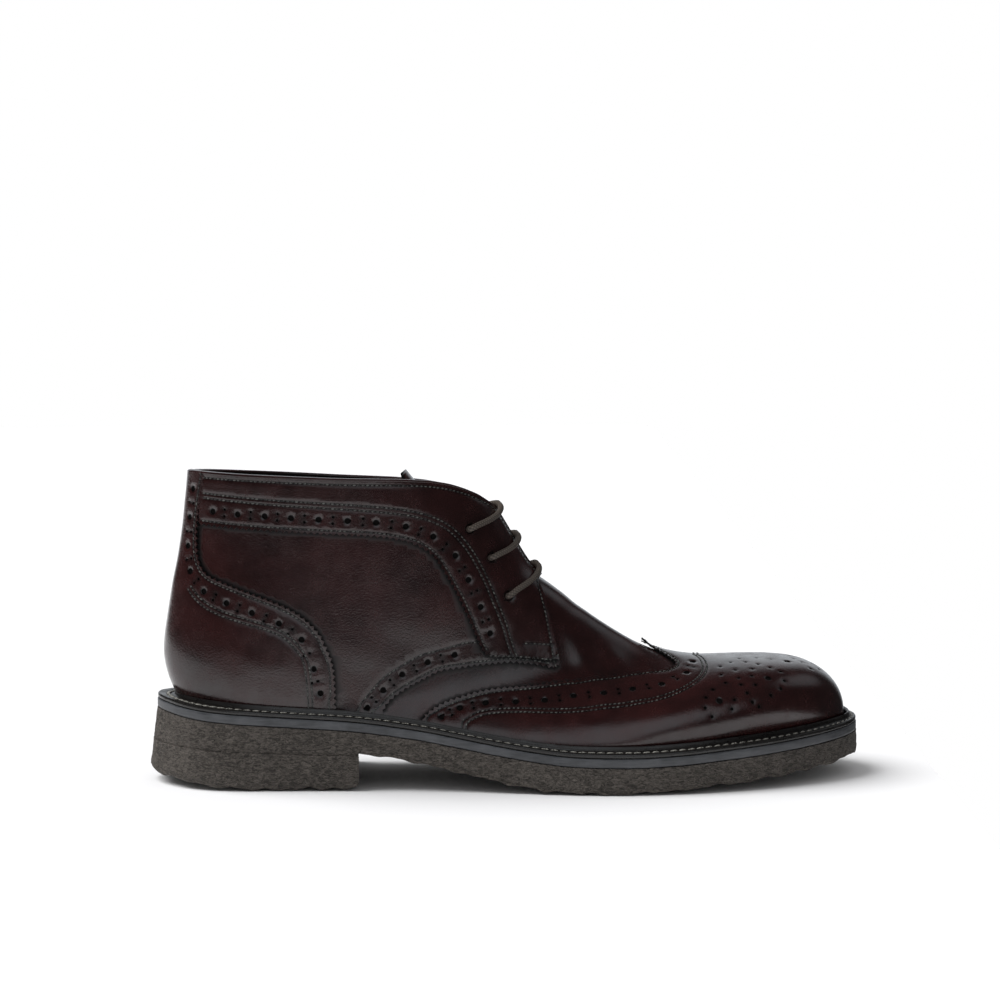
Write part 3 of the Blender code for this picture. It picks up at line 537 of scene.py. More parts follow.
# One row a section: where its foot and its ridge stand (share of length, then rise as a
# share of the collar's), its half width outside and inside, its middle at the foot and
# at the ridge (shares of the ball's width), how high it is widest, and the powers of its
# curve below and above that.
LAST = (
    (0.0681, 1.178, 0.4188, 1.308, 0.268, 0.268, 0.000, 0.000, 0.52, 2.0, 2.3),
    (0.0634, 1.008, 0.4480, 1.136, 0.262, 0.262, 0.000, 0.000, 0.52, 2.0, 2.3),
    (0.0585, 0.836, 0.4837, 0.971, 0.257, 0.257, 0.000, 0.002, 0.51, 2.0, 2.3),
    (0.0511, 0.653, 0.5132, 0.823, 0.256, 0.256, 0.000, 0.005, 0.50, 2.0, 2.3),
    (0.0422, 0.512, 0.5342, 0.732, 0.257, 0.257, 0.000, 0.008, 0.47, 2.0, 2.3),
    (0.0345, 0.350, 0.5621, 0.680, 0.260, 0.260, 0.000, 0.012, 0.43, 2.05, 2.3),
    (0.0286, 0.199, 0.5977, 0.589, 0.264, 0.264, 0.000, 0.016, 0.38, 2.1, 2.2),
    (0.0389, 0.055, 0.6295, 0.516, 0.266, 0.268, 0.000, 0.020, 0.33, 2.2, 2.1),
    (0.0687, -0.060, 0.6586, 0.458, 0.266, 0.272, 0.000, 0.022, 0.29, 2.3, 2.1),
    (0.1336, -0.101, 0.6878, 0.402, 0.262, 0.270, -0.006, 0.024, 0.28, 2.4, 2.15),
    (0.2373, -0.102, 0.7202, 0.360, 0.270, 0.276, -0.022, 0.026, 0.28, 2.5, 2.2),
    (0.3507, -0.105, 0.7559, 0.328, 0.308, 0.304, -0.034, 0.028, 0.28, 2.6, 2.25),
    (0.4642, -0.104, 0.7916, 0.310, 0.378, 0.366, -0.026, 0.030, 0.29, 2.6, 2.3),
    (0.5939, -0.093, 0.8337, 0.301, 0.432, 0.420, -0.002, 0.032, 0.32, 2.6, 2.4),
    (0.7235, -0.092, 0.8791, 0.287, 0.409, 0.409, 0.016, 0.034, 0.36, 2.6, 2.5),
    (0.8370, -0.093, 0.9180, 0.262, 0.330, 0.330, 0.034, 0.038, 0.42, 2.5, 2.5),
    (0.9115, -0.084, 0.9488, 0.203, 0.240, 0.240, 0.044, 0.044, 0.46, 2.4, 2.4),
    (0.9500, -0.068, 0.9676, 0.127, 0.152, 0.152, 0.046, 0.046, 0.50, 2.3, 2.3),
    (0.9650, -0.056, 0.9740, 0.062, 0.095, 0.095, 0.046, 0.046, 0.50, 2.2, 2.2),
    (0.9725, -0.046, 0.9752, 0.002, 0.042, 0.042, 0.046, 0.046, 0.50, 2.1, 2.1),
    (0.9746, -0.036, 0.9747, -0.033, 0.002, 0.002, 0.046, 0.046, 0.50, 2.0, 2.0),
)
TONGUE_LEAN = (0.30, 0.24, 0.16, 0.075, 0.022, 0.0)
SECTION_RUN = 0.018        # flat length given to one section in a cut pattern
TURN_RUN = 0.028           # flat width given to one radian
TOE_SECTION = len(LAST) - 1
LARGEST_MISS = 0.002       # a side-view point this far off the last isn't on it

numbers = np.arange(len(LAST))
last_curves = [eased(numbers, column(LAST, k), 0.30) for k in range(len(LAST[0]))]
lean_curve = eased(np.arange(len(TONGUE_LEAN)), TONGUE_LEAN, 0.2)

# Creases pressed in by wear and by the lasting: seen from the side, from share and
# rise to share and rise, how deep and how wide.
CREASES = (
    ((0.566, 0.50), (0.604, 0.16), 0.00022, 0.0030),
    ((0.590, 0.56), (0.648, 0.24), 0.00030, 0.0036),
    ((0.618, 0.50), (0.676, 0.34), 0.00026, 0.0030),
    ((0.300, 0.42), (0.400, 0.30), 0.00008, 0.0070),
    ((0.105, 0.42), (0.170, 0.30), 0.00020, 0.0050),
)
SLACK = 0.00004            # how far the leather lies off the wood here and there


def surface(t, w, lean=0.0):
    """Bare wood at a section and a turn."""
    v = [curve(t) for curve in last_curves]
    angle = (math.pi - np.asarray(w, float)) % (2 * math.pi) - math.pi
    base_x, ridge_x = station(v[0]), station(v[2])
    base_z = feather(v[0]) + COLLAR_RISE * v[1]
    ridge_z = feather(v[2]) + COLLAR_RISE * v[3]
    ridge_x = ridge_x - COLLAR_RISE * lean * lean_curve(t)
    low = np.cos(angle) > 0
    power = 2 / np.where(low, v[9], v[10])
    up, out = np.abs(np.cos(angle)) ** power, np.abs(np.sin(angle)) ** power
    height = np.where(low, v[8] * (1 - up), v[8] + (1 - v[8]) * up)
    half = np.where(angle < 0, v[4], v[5]) * BALL_WIDTH
    middle = BALL_WIDTH * (v[6] + (v[7] - v[6]) * height)
    return np.stack([base_x + (ridge_x - base_x) * height,
                     middle + np.sign(np.sin(angle)) * half * out,
                     base_z + (ridge_z - base_z) * height], -1)


def slopes_at(t, w, lean=0.0, step=0.03):
    """How the wood runs along the sections and round them, and its outward normal."""
    t, w = np.asarray(t, float), np.asarray(w, float)
    high, low = np.minimum(t + step, TOE_SECTION), np.maximum(t - step, 0)
    along = (surface(high, w, lean) - surface(low, w, lean)) / (high - low)[..., None]
    across = (surface(t, w + step, lean) - surface(t, w - step, lean)) / (2 * step)
    normal = np.cross(along, across)
    normal /= np.linalg.norm(normal, axis=-1)[..., None]
    return along, across, normal


def side_point(place, rise):
    """A point as seen from the side, in metres, from its share of the sole's length and
    its rise, as a share of the collar's."""
    return float(station(place)), float(feather(place)) + COLLAR_RISE * rise


def lasted(t, w, h, lean=0.0):
    """A point of leather: section, turn, and height above the wood."""
    point = surface(t, w, lean)
    normal = slopes_at(t, w, lean)[2]
    if not lean:
        x, y, z = point[..., 0], point[..., 1], point[..., 2]
        # Two crossed waves, a few centimetres long.
        dip = SLACK * np.sin(x * 210 + z * 90) * np.sin(z * 260 - x * 70 + y * 60)
        for start, finish, depth, width in CREASES:
            a, b = np.array(side_point(*start)), np.array(side_point(*finish))
            run = b - a
            along = np.clip(((x - a[0]) * run[0] + (z - a[1]) * run[1]) / (run @ run), 0, 1)
            away = np.hypot(x - a[0] - along * run[0], z - a[1] - along * run[1])
            fade = np.sin(math.pi * (0.08 + 0.84 * along))
            dip = dip - depth * np.exp(-(away / width) ** 2) * fade
            dip = dip + 0.6 * depth * np.exp(-((away - 2 * width) / width) ** 2)
        point = point + normal * dip[..., None]
    return point + normal * np.asarray(h, float)[..., None]


grid_t, grid_w = np.meshgrid(np.linspace(0, TOE_SECTION, 401), np.linspace(0.01, math.pi - 0.01, 181))
grid_t, grid_w = grid_t.ravel(), grid_w.ravel()
grid_side = surface(grid_t, grid_w)[:, ::2]


def spaced(line, step, values=None):
    """Points of a line evenly about a step apart, or values that are given along it."""
    run = run_along(line)
    at = np.linspace(0, run[-1], max(2, int(round(run[-1] / step)) + 1))
    return points_at(line if values is None else values, run, at)


def rounded(table):
    """A side-view table as smooth points in metres, a millimetre apart."""
    points = np.array([side_point(*row) for row in table])
    run = run_along(points)
    at = np.linspace(0, run[-1], max(3, int(run[-1] / 0.001)))
    return np.stack([eased(run, points[:, k], 0.0012)(at) for k in (0, 1)], 1)


def places_of(goal):
    """Places on the outer side of the last that show at side-view points. What lies
    beyond the last is dropped."""
    places = []
    for x, z in goal:
        miss = np.hypot(grid_side[:, 0] - x, grid_side[:, 1] - z)
        best = int(np.argmin(miss))
        if miss[best] > LARGEST_MISS:
            continue
        t, w = grid_t[best], grid_w[best]
        for _ in range(6):
            along, across, _normal = slopes_at(t, w)
            matrix = np.stack([along[::2], across[::2]], 1)
            change = np.linalg.lstsq(matrix, np.array([x, z]) - surface(t, w)[::2], rcond=1e-2)[0]
            t = float(np.clip(t + np.clip(change[0], -0.2, 0.2), 0, TOE_SECTION))
            w = float(np.clip(w + np.clip(change[1], -0.08, 0.08), 0.0, math.pi))
        places.append((t, w))
    return np.array(places)


def seen(table):
    """Places on the outer side of a smooth line that is given as seen from the side."""
    return places_of(rounded(table))


def placed(table):
    """Places on the outer side of single points that are given as seen from the side."""
    return places_of([side_point(*row) for row in table])


def moved(places, vectors):
    """Places shifted over the last by vectors in metres."""
    along, across, _normal = slopes_at(*places.T)
    aa, ab, bb = (np.sum(p * q, 1) for p, q in
                  ((along, along), (along, across), (across, across)))
    va, vb = np.sum(vectors * along, 1), np.sum(vectors * across, 1)
    det = aa * bb - ab * ab
    return places + np.stack([(bb * va - ab * vb) / det, (aa * vb - ab * va) / det], 1)


def even_places(places, step):
    """Places along a line on the last, evenly a step apart in metres."""
    return spaced(surface(*places.T), step, places)


def smoothed(line, times):
    """A line whose inner points are drawn towards their neighbours."""
    for _ in range(times):
        line[1:-1] = 0.25 * line[:-2] + 0.5 * line[1:-1] + 0.25 * line[2:]
    return line


def sideways(places):
    """Unit vectors on the last, to the left of a line's run seen from outside."""
    left = np.cross(slopes_at(*places.T)[2], np.gradient(surface(*places.T), axis=0))
    return left / np.linalg.norm(left, axis=1)[:, None]


def beside(places, distance):
    """A line that runs beside another, to its left for a positive distance."""
    line = even_places(places, 0.0012)
    moves = max(1, int(abs(distance) / 0.001))
    for _ in range(moves):
        line = smoothed(moved(line, sideways(line) * (distance / moves)), 3)
    return line


def gimped(places, side):
    """The zigzag that a gimping machine cuts, with teeth to the left for side 1."""
    line = even_places(places, TOOTH_PITCH / 2)
    teeth = np.where(np.arange(len(line)) % 2 == 1, TOOTH_DEPTH, 0.0)[:, None]
    return moved(line, sideways(line) * teeth * side)


def mirrored(places, about=0.0):
    """The same places on the inner side: about 0 is the heel back, pi the ridge."""
    return np.stack([places[:, 0], 2 * about - places[:, 1]], 1)[::-1]


def section_at(w, above):
    """Section at which the last drops below a side-view height, for each turn."""
    low, high = np.zeros(len(w)), np.full(len(w), float(TOE_SECTION))
    for _ in range(40):
        middle = (low + high) / 2
        point = surface(middle, w)
        over = point[:, 2] > above(point[:, 0])
        low, high = np.where(over, middle, low), np.where(over, high, middle)
    return (low + high) / 2


RIM = (
    (-0.022, 1.008), (0.059, 1.029), (0.134, 1.037), (0.205, 1.042), (0.267, 1.046),
    (0.347, 1.069), (0.388, 1.080), (0.413, 1.078), (0.432, 1.067), (0.452, 1.047),
    (0.467, 1.020), (0.480, 0.994), (0.500, 0.950),
)
RIM_DROP = 0.0026
FOLD = 0.0007              # the collar's folded edge stands this high
TOOTH_PITCH = 0.0026       # of a gimped hem
TOOTH_DEPTH = 0.0012
THROAT_WIDTH = 0.0090
THROAT_FOOT = 4.35


def rim_height(drop):
    stations = station(column(RIM, 0))
    heights = [float(feather(s)) + COLLAR_RISE * rise - FOLD - drop * min(max(s / 0.4, 0), 1)
               for s, rise in RIM]
    return lambda x: np.interp(x, stations, heights)


def throat_turn(t):
    """Turn of the throat's outer edge at a section."""
    w = np.linspace(math.pi / 2, math.pi, 200)
    y = np.abs(surface(np.full(200, t), w)[:, 1] - surface(t, math.pi)[1])
    return float(np.interp(-THROAT_WIDTH / 2, -y, w))


def throat_edge(top, foot, steps):
    """The throat's outer edge, down from one section to another."""
    return np.array([(t, throat_turn(t)) for t in np.linspace(top, foot, steps)])


def rim_line(drop):
    """The collar line on the outer side, from the heel back to the throat's edge."""
    stop = throat_turn(1.9)
    w = np.linspace(0.0, stop, max(3, int(stop / 0.03)))
    return np.stack([section_at(w, rim_height(drop)), w], 1)


def welt_line(start, stop, step=0.12):
    """The line where the outer side meets the welt, between two sections."""
    places = []
    for t in np.linspace(start, stop, max(3, int(abs(stop - start) / step))):
        low, high = 0.0, math.pi
        for _ in range(30):
            w = (low + high) / 2
            point = surface(t, w)
            if point[2] > float(feather(share(point[0]))):
                high = w
            else:
                low = w
        places.append((t, (low + high) / 2))
    return np.array(places)


heel_foot = float(section_at(np.array([0.0]), lambda x: feather(share(x)))[0])
toe_foot = float(section_at(np.array([math.pi]), lambda x: feather(share(x)))[0])


def welt_section(place):
    """Section at which the welt line passes the foot of a panel's edge."""
    line = welt_line(heel_foot, toe_foot, 0.05)
    nearest = np.argmin(np.abs(surface(*line.T)[:, 0] - surface(*place)[0]))
    return float(line[nearest, 0])


def above_welt(places):
    """The part of a line that lies above the welt."""
    points = surface(*places.T)
    return places[points[:, 2] > feather(share(points[:, 0])) + 0.0002]


# ---- Leather and thread ----
# Dark oxblood calf, waxed and brushed to a shine, its cut edges burnished darker. Painted shade turns
# it nearly black in every stitch groove and round every pinhole, and a painted shadow runs where
# another leather lies on it. The thread is black and waxed, with painted glints.
def oxblood(name, light=(0.027, 0.0072, 0.0070, 1), dark=(0.0105, 0.0041, 0.0041, 1), gloss=0.19):
    hide = Finish(name, Specular_IOR_Level=0.5, Coat_Roughness=0.16)
    broad = hide.grain(26, 3.0)
    cloud = hide.grain(130, 4.0)
    pores = hide.grain(1500, 3.0, rough=0.65)
    fine = hide.cells(1150)
    # dent_shade_and_rub: painted shade in stitch grooves and hole dishes, plus the real burnish along
    # cut edges
    painted_shade_and_rub, edge_shadow_and_ink = hide.attribute("dent_shade_and_rub"), hide.attribute("edge_shadow_and_ink")
    tone = hide.spread(broad * 0.6 + cloud * 0.4, 0.36, 0.64)
    # black is the colour of the painted shadow under overlapping leathers, the painted shade in
    # grooves and dishes, and the inked cut edges
    black = (0.0016, 0.0012, 0.0012, 1)
    hide.set(
        Base_Color=hide.mix(hide.spread(painted_shade_and_rub + edge_shadow_and_ink, 0.1, 0.95),
                            hide.mix(tone, dark, light), black),
        Roughness=hide.spread(cloud * 0.6 + pores * 0.4, 0.3, 0.7, gloss - 0.05, gloss + 0.12)
        + painted_shade_and_rub * 0.10 + edge_shadow_and_ink * 0.60,
        Coat_Weight=hide.spread(cloud, 0.35, 0.65, 0.45, 0.28) * (1 - edge_shadow_and_ink),
        Normal=hide.relief(pores * 0.6 + fine * 0.5, 0.00010, 0.7))
    return hide.material


upper_leather = oxblood("oxblood_calf")
THREAD = 0.00066
THREAD_SUNK = 0.00005      # below the leather's face, in the groove
STITCH = 0.00185           # from one stitch to the next
STITCH_LENGTH = 0.00150
STITCH_SLANT = 0.16        # radians off the row
thread = Finish("waxed_thread", Specular_IOR_Level=0.6)
twist = thread.grain(2600, 2.0)
painted_glint = thread.grain(900, 2.0)
# Noise lifts the black thread's colour to light grey in spots: painted glints.
thread.set(Base_Color=thread.mix(thread.spread(painted_glint, 0.42, 0.62),
                                 (0.006, 0.006, 0.006, 1), (0.130, 0.135, 0.125, 1)),
           Roughness=thread.spread(twist, 0.3, 0.7, 0.28, 0.45))


def tree_of(points):
    """A search tree over points."""
    tree = KDTree(len(points))
    for k, point in enumerate(points):
        tree.insert(point, k)
    tree.balance()
    return tree


def apart(points, tree):
    """Distance from each point to the nearest in a search tree."""
    return np.array([tree.find(point)[2] for point in points])


def beyond_hole(points, holes):
    """Each point's distance from the rim of the hole nearest to it, and that radius."""
    tree = tree_of(surface(*np.array([centre for centre, _radius in holes]).T))
    found = [tree.find(point) for point in points]
    radii = np.array([holes[number][1] for _point, number, _away in found])
    return np.array([away for _point, _number, away in found]) - radii, radii


def clear_of(places, holes):
    """The places that lie outside every hole."""
    return places[beyond_hole(surface(*places.T), holes)[0] > 0] if holes else places


NET_SECTIONS = 0.0625      # the finest net of corners inside a piece
NET_TURN = 0.035
CROWDED = 0.42             # share of the spacing that a corner keeps from the edges


def cut_pattern(outline, holes, marks, spacing):
    """A flat piece of leather inside an outline, with holes, as triangles. Marks are
    points that get a corner of their own, so that a groove can be pressed there."""
    scale = np.array([SECTION_RUN, TURN_RUN])
    loops = [outline, *(ring_of(centre, radius) for centre, radius in holes)]
    points, edges, owner = [], [], []
    for number, loop in enumerate(loops):
        first, count = len(points), len(loop)
        points += [tuple(p) for p in loop]
        owner += [number] * count
        edges += [(first + k, first + (k + 1) % count) for k in range(count)]
    fixed = np.concatenate([points, marks])
    tree = tree_of(surface(*fixed.T))
    net = np.array([NET_SECTIONS, NET_TURN])
    low, high = np.floor(np.min(points, 0) / net), np.max(points, 0) / net
    rows, columns = np.meshgrid(*(np.arange(int(a), int(b) + 1) for a, b in zip(low, high)))
    rows, columns = rows.ravel(), columns.ravel()
    inner = np.stack([rows * NET_SECTIONS, columns * NET_TURN], 1)
    along, across, _normal = slopes_at(*inner.T)
    skip_rows, skip_columns = (
        2 ** np.clip(np.floor(np.log2(spacing / (np.linalg.norm(run, axis=1) * step))), 0, most)
        for run, step, most in ((along, NET_SECTIONS, 4), (across, NET_TURN, 3)))
    inner = inner[(rows % skip_rows == 0) & (columns % skip_columns == 0)]
    inner = clear_of(inner[apart(surface(*inner.T), tree) > CROWDED * spacing], holes)
    flat = np.concatenate([fixed, inner]) * scale
    made = delaunay_2d_cdt([Vector(p) for p in flat], edges, [], 2, 1e-7)
    whose = [owner[min(source)] if source and min(source) < len(owner) else 0
             for source in made[3]]
    faces = [face for face in made[2]
             if not whose[face[0]] or any(whose[k] != whose[face[0]] for k in face)]
    return np.array([tuple(p) for p in made[0]]) / scale, faces


SMALLEST_BIG = 0.0008      # radius above which a hole counts as a big one
HOLE_DISH = 0.00028        # how far leather sinks round a punched hole
DISH_REACH = 0.00035
STITCH_GROOVE = 0.00026    # and along a stitch row
GROOVE_REACH = 0.00055
GROOVE_EDGE = 0.0007
RUB = 0.12                 # how black a cut edge's rim is, and how wide
RUB_REACH = 0.0005
EDGE_SHADOW_REACH = 0.0011     # half the width of the painted shadow along a part that lies on top
LINE_STEP = 0.0004


def on_last(name, outline, low, thick, finish, holes=(), rows=(), spacing=0.0018, lean=0.0,
            seam=False, stands_for=(), covered=(), curl=None):
    """A leather part: cut flat, punched, grooved along its stitch rows and pulled over the last as a
    solid of even thickness. seam says that its two ends meet, covered are the edges of the parts that
    lie on it, along which a painted shadow runs, and curl is a place, a reach and a lift."""
    marks = [np.zeros((0, 2))]
    for row in [*rows, *covered]:
        line = even_places(row, 0.0011)
        marks += [moved(line, sideways(line) * aside) if aside else line
                  for aside in (0, GROOVE_EDGE, -GROOVE_EDGE)]
    marks += [ring_of(centre, radius + 0.0005, 12) for centre, radius in holes
              if radius > SMALLEST_BIG]
    marks = thinned(clear_of(np.concatenate(marks), holes), outline, holes)
    places, faces = cut_pattern(outline, holes, marks, spacing)
    bm = bmesh.new()
    section, turn = (bm.verts.layers.float.new(key) for key in ("section", "turn"))
    verts = [bm.verts.new(point) for point in surface(*places.T, lean)]
    for vert, (t, w) in zip(verts, places):
        vert[section], vert[turn] = t, w
    for face in faces:
        bm.faces.new([verts[k] for k in face])
    bmesh.ops.beautify_fill(bm, faces=bm.faces, edges=bm.edges, method="ANGLE")
    raised = bmesh.ops.extrude_face_region(bm, geom=list(bm.faces))["geom"]
    top = {item for item in raised if isinstance(item, bmesh.types.BMVert)}
    if seam:
        ends = [face for face in bm.faces
                if all(abs(vert[turn]) < 1e-6 for vert in face.verts)
                or all(abs(vert[turn] - 2 * math.pi) < 1e-5 for vert in face.verts)]
        bmesh.ops.delete(bm, geom=ends, context="FACES")
    flat = np.array([(vert[section], vert[turn], vert in top) for vert in bm.verts])
    wood = surface(flat[:, 0], flat[:, 1], lean)
    dent_shade_and_rub, edge_shadow_and_ink = np.zeros(len(flat)), np.zeros(len(flat))
    # Painted shade along the stitch grooves.
    if rows:
        stitched = [surface(*even_places(row, LINE_STEP).T, lean) for row in rows]
        dent_shade_and_rub = np.exp(-(apart(wood, tree_of(np.concatenate(stitched))) / GROOVE_REACH) ** 2)
    press = STITCH_GROOVE * dent_shade_and_rub
    # The dish round each hole sinks and takes painted shade.
    if holes:
        rim, radii = beyond_hole(wood, holes)
        bowl = np.exp(-(np.maximum(rim, 0) / DISH_REACH) ** 2) * np.minimum(1.0, radii / 0.0011)
        press = np.maximum(press, HOLE_DISH * bowl)
        dent_shade_and_rub = np.maximum(dent_shade_and_rub, bowl)
    rub = np.exp(-(apart(wood, tree_of(surface(*outline.T, lean))) / RUB_REACH) ** 2)
    dent_shade_and_rub = np.maximum(dent_shade_and_rub, RUB * rub)
    # A painted shadow along the edges of the leathers that lie on this one.
    if covered:
        hidden = tree_of(np.concatenate([surface(*even_places(edge, LINE_STEP).T)
                                         for edge in covered]))
        edge_shadow_and_ink = np.exp(-(apart(wood, hidden) / EDGE_SHADOW_REACH) ** 4)
    height = low + (thick - press) * flat[:, 2]
    if curl:
        place, reach, lift = curl
        away = np.linalg.norm(wood - surface(*place), axis=1)
        height = height + lift * np.exp(-(away / reach) ** 2)
    for vert, point in zip(bm.verts, lasted(flat[:, 0], flat[:, 1], height, lean)):
        vert.co = point
    layer, shadow_and_ink_layer = (bm.verts.layers.float.new(key) for key in ("dent_shade_and_rub", "edge_shadow_and_ink"))
    # The bottom and lower side walls go black and matt: inked cut edges, and painted shade inside the
    # holes.
    for vert, value, dark, level in zip(bm.verts, dent_shade_and_rub, edge_shadow_and_ink, flat[:, 2]):
        vert[layer], vert[shadow_and_ink_layer] = (value, dark) if level > 0.5 else (1.0, 1.0)
    bmesh.ops.remove_doubles(bm, verts=bm.verts, dist=2e-6)
    bmesh.ops.recalc_face_normals(bm, faces=bm.faces)
    return shown(name, bm, finish, 38, stands_for)


def ring_of(centre, radius, sides=None):
    """A round hole in the leather, as places."""
    sides = sides or (18 if radius > SMALLEST_BIG else 9)
    around = np.linspace(0, 2 * math.pi, sides + 1)[:-1]
    places = np.tile(np.asarray(centre, float), (sides, 1))
    along, across, _normal = slopes_at(*places.T)
    first = along / np.linalg.norm(along, axis=1)[:, None]
    second = across - np.sum(across * first, 1)[:, None] * first
    second /= np.linalg.norm(second, axis=1)[:, None]
    return moved(places, radius * (np.cos(around)[:, None] * first
                                   + np.sin(around)[:, None] * second))


def thinned(marks, outline, holes):
    """Marks that keep clear of the edges, the holes and one another."""
    solid = np.concatenate([outline, *(ring_of(centre, radius) for centre, radius in holes)])
    tree = tree_of(surface(*solid.T))
    kept, cells = [], set()
    for place, point in zip(marks, surface(*marks.T)):
        cell = tuple(np.round(point / 0.0004).astype(int))
        if cell in cells or tree.find(point)[2] < 0.0003:
            continue
        cells.add(cell)
        kept.append(place)
    return np.array(kept).reshape(-1, 2)


def sewn(name, rows, leather_top):
    """Rows of lock stitches: each a grain of thread, sunk a little in its groove."""
    whole = bmesh.new()
    shape = Matrix.Diagonal((STITCH_LENGTH / 2, THREAD / 2, THREAD / 2, 1))
    for row in rows:
        part = bmesh.new()
        line = even_places(row, STITCH)
        points = lasted(*line.T, leather_top - THREAD_SUNK)
        ahead = np.gradient(points, axis=0)
        normals = slopes_at(*line.T)[2]
        for point, run, out in zip(points, ahead, normals):
            out = Vector(out)
            run = (Matrix.Rotation(STITCH_SLANT, 3, out) @ Vector(run).normalized()).normalized()
            side = out.cross(run).normalized()
            turn = Matrix((run, side, run.cross(side))).transposed().to_4x4()
            bmesh.ops.create_icosphere(part, subdivisions=1, radius=1.0,
                                       matrix=Matrix.Translation(point) @ turn @ shape)
        scratch = bpy.data.meshes.new("row")
        part.to_mesh(scratch)
        part.free()
        whole.from_mesh(scratch)
        bpy.data.meshes.remove(scratch)
    return shown(name, whole, thread.material, 180)


def hole_shade_discs(name, holes, height):
    """A near-black disc inside each punched hole: painted shade at the hole's bottom."""
    bm = bmesh.new()
    for centre, radius in holes:
        out = Vector(slopes_at(*centre)[2])
        stand = (Matrix.Translation(lasted(*centre, height))
                 @ out.to_track_quat("Z", "Y").to_matrix().to_4x4())
        bmesh.ops.create_cone(bm, cap_ends=True, segments=10, radius1=radius * 1.15,
                              radius2=radius * 1.15, depth=0.0002, matrix=stand)
    return shown(name, bm, hole_shade.material, 30)


# Near-black and matt: painted shade inside the punched holes.
hole_shade = Finish("painted_hole_shade", Roughness=0.95, Specular_IOR_Level=0.1)
fuzz = hole_shade.grain(4000, 2.0)
hole_shade.set(Base_Color=hole_shade.mix(fuzz, (0.0015, 0.0013, 0.0012, 1), (0.006, 0.005, 0.005, 1)))

# ---- Upper wall ----
# Vamp and under-quarters, one closed wall from toe to collar with the throat cut out,
# over a dark lining. Both are closed at the heel back, under the counter.
WALL = 0.0009
LINING = 0.00045
QUARTER_STEP = 0.0008      # thickness of the quarters' leather
OVERLAY = 0.0010           # and of the facings and the toe cap


def wall_outline():
    """From the heel's foot round the welt, up the back seam, along the inner rim, down
    and up the throat, along the outer rim and down the seam."""
    outer, inner = rim_line(0.0), rim_line(RIM_DROP)
    outer_slot, inner_slot = (throat_edge(line[-1, 0], THROAT_FOOT, 26)[1:]
                              for line in (outer, inner))
    feet = welt_line(heel_foot, toe_foot)
    feet[0] = (heel_foot, 0.0)
    feet[-1] = (toe_foot, math.pi)
    back = np.linspace(heel_foot, outer[0, 0], 60)[1:-1]
    seam_inner = np.stack([back, np.full(len(back), 2 * math.pi)], 1)
    seam_outer = np.stack([back[::-1], np.zeros(len(back))], 1)
    inner_rim = mirrored(inner, math.pi)[::-1]
    inner_rim[0] = (outer[0, 0], 2 * math.pi)
    return np.concatenate([
        feet, mirrored(feet, math.pi)[1:], seam_inner, inner_rim,
        mirrored(inner_slot, math.pi)[::-1], [(THROAT_FOOT + 0.05, math.pi)],
        outer_slot[::-1], outer[::-1], seam_outer])


around_wall = wall_outline()

# ---- Quarters ----
# Both quarters in one leather over the vamp, round the heel back, with a gimped hem
# that runs down to the welt, one stitch row along it and a row of holes above.
# Lines and holes from here on are given as seen from the side: share of the sole's
# length, and rise above the welt as a share of the collar's.
QUARTER_FRONT = ((0.536, 0.703), (0.546, 0.624), (0.556, 0.500), (0.565, 0.376), (0.567, 0.330))
QUARTER_HEM = ((0.567, 0.330), (0.560, 0.312), (0.550, 0.318), (0.532, 0.324), (0.515, 0.321),
               (0.500, 0.321), (0.477, 0.304), (0.451, 0.283), (0.424, 0.256), (0.403, 0.236),
               (0.388, 0.204), (0.370, 0.165), (0.351, 0.122), (0.335, 0.076), (0.325, 0.026),
               (0.320, -0.060))
STRAP_ROW = ((0.462, 0.400), (0.438, 0.385), (0.425, 0.366), (0.396, 0.325), (0.380, 0.304),
             (0.355, 0.252), (0.320, 0.160), (0.310, 0.118), (0.291, 0.029), (0.285, -0.060))
STRAP_HOLES = ((0.302, 0.033), (0.324, 0.120), (0.350, 0.200), (0.385, 0.270), (0.422, 0.322))
BIG_HOLE = 0.00125         # radius
SMALL_HOLE = 0.00062
PAIR = 0.0014              # from the middle of a band to each hole of a small pair
ROW_IN = 0.0021            # from a gimped edge's line to its stitch row
UNDER = 0.0006             # the painted shadow's line lies this far under a part that lies on top


def between_holes(places):
    """Big holes at the places, and a pair of small ones across the band between."""
    holes = [(place, BIG_HOLE) for place in places]
    middles = (places[:-1] + places[1:]) / 2
    across = sideways(places)
    across = (across[:-1] + across[1:]) / 2
    for sign in (-1, 1):
        holes += [(place, SMALL_HOLE) for place in moved(middles, across * sign * PAIR)]
    return holes


def far_holes(holes, about=0.0):
    """The same holes on the inner side."""
    return [((place[0], 2 * about - place[1]), radius) for place, radius in holes]


def front_line(drop):
    """The rim, the throat's edge and the front edge of the quarter, in three lines."""
    rim, front = rim_line(drop), seen(QUARTER_FRONT)
    down = throat_edge(rim[-1, 0], front[0, 0], 30)
    return rim, down[1:], front[front[:, 1] < down[-1, 1] - 0.01]


def quarter_half(drop):
    """Outline of the outer quarter from the heel back at the rim to its foot."""
    rim, down, front = front_line(drop)
    hem = above_welt(gimped(seen(QUARTER_HEM), side=-1))
    foot = welt_line(welt_section(hem[-1]), heel_foot)
    foot[-1, 1] = 0.0
    return np.concatenate([rim, down, front, hem[1:], foot])


outer_half, inner_half = quarter_half(0.0), quarter_half(RIM_DROP)
quarter_outline = np.concatenate([outer_half, mirrored(inner_half)[1:-1]])
quarter_rows = [above_welt(beside(seen(QUARTER_HEM)[6:], -ROW_IN)), above_welt(seen(STRAP_ROW))]
quarter_rows += [mirrored(row) for row in quarter_rows]
strap_holes = between_holes(placed(STRAP_HOLES))
strap_holes += far_holes(strap_holes)

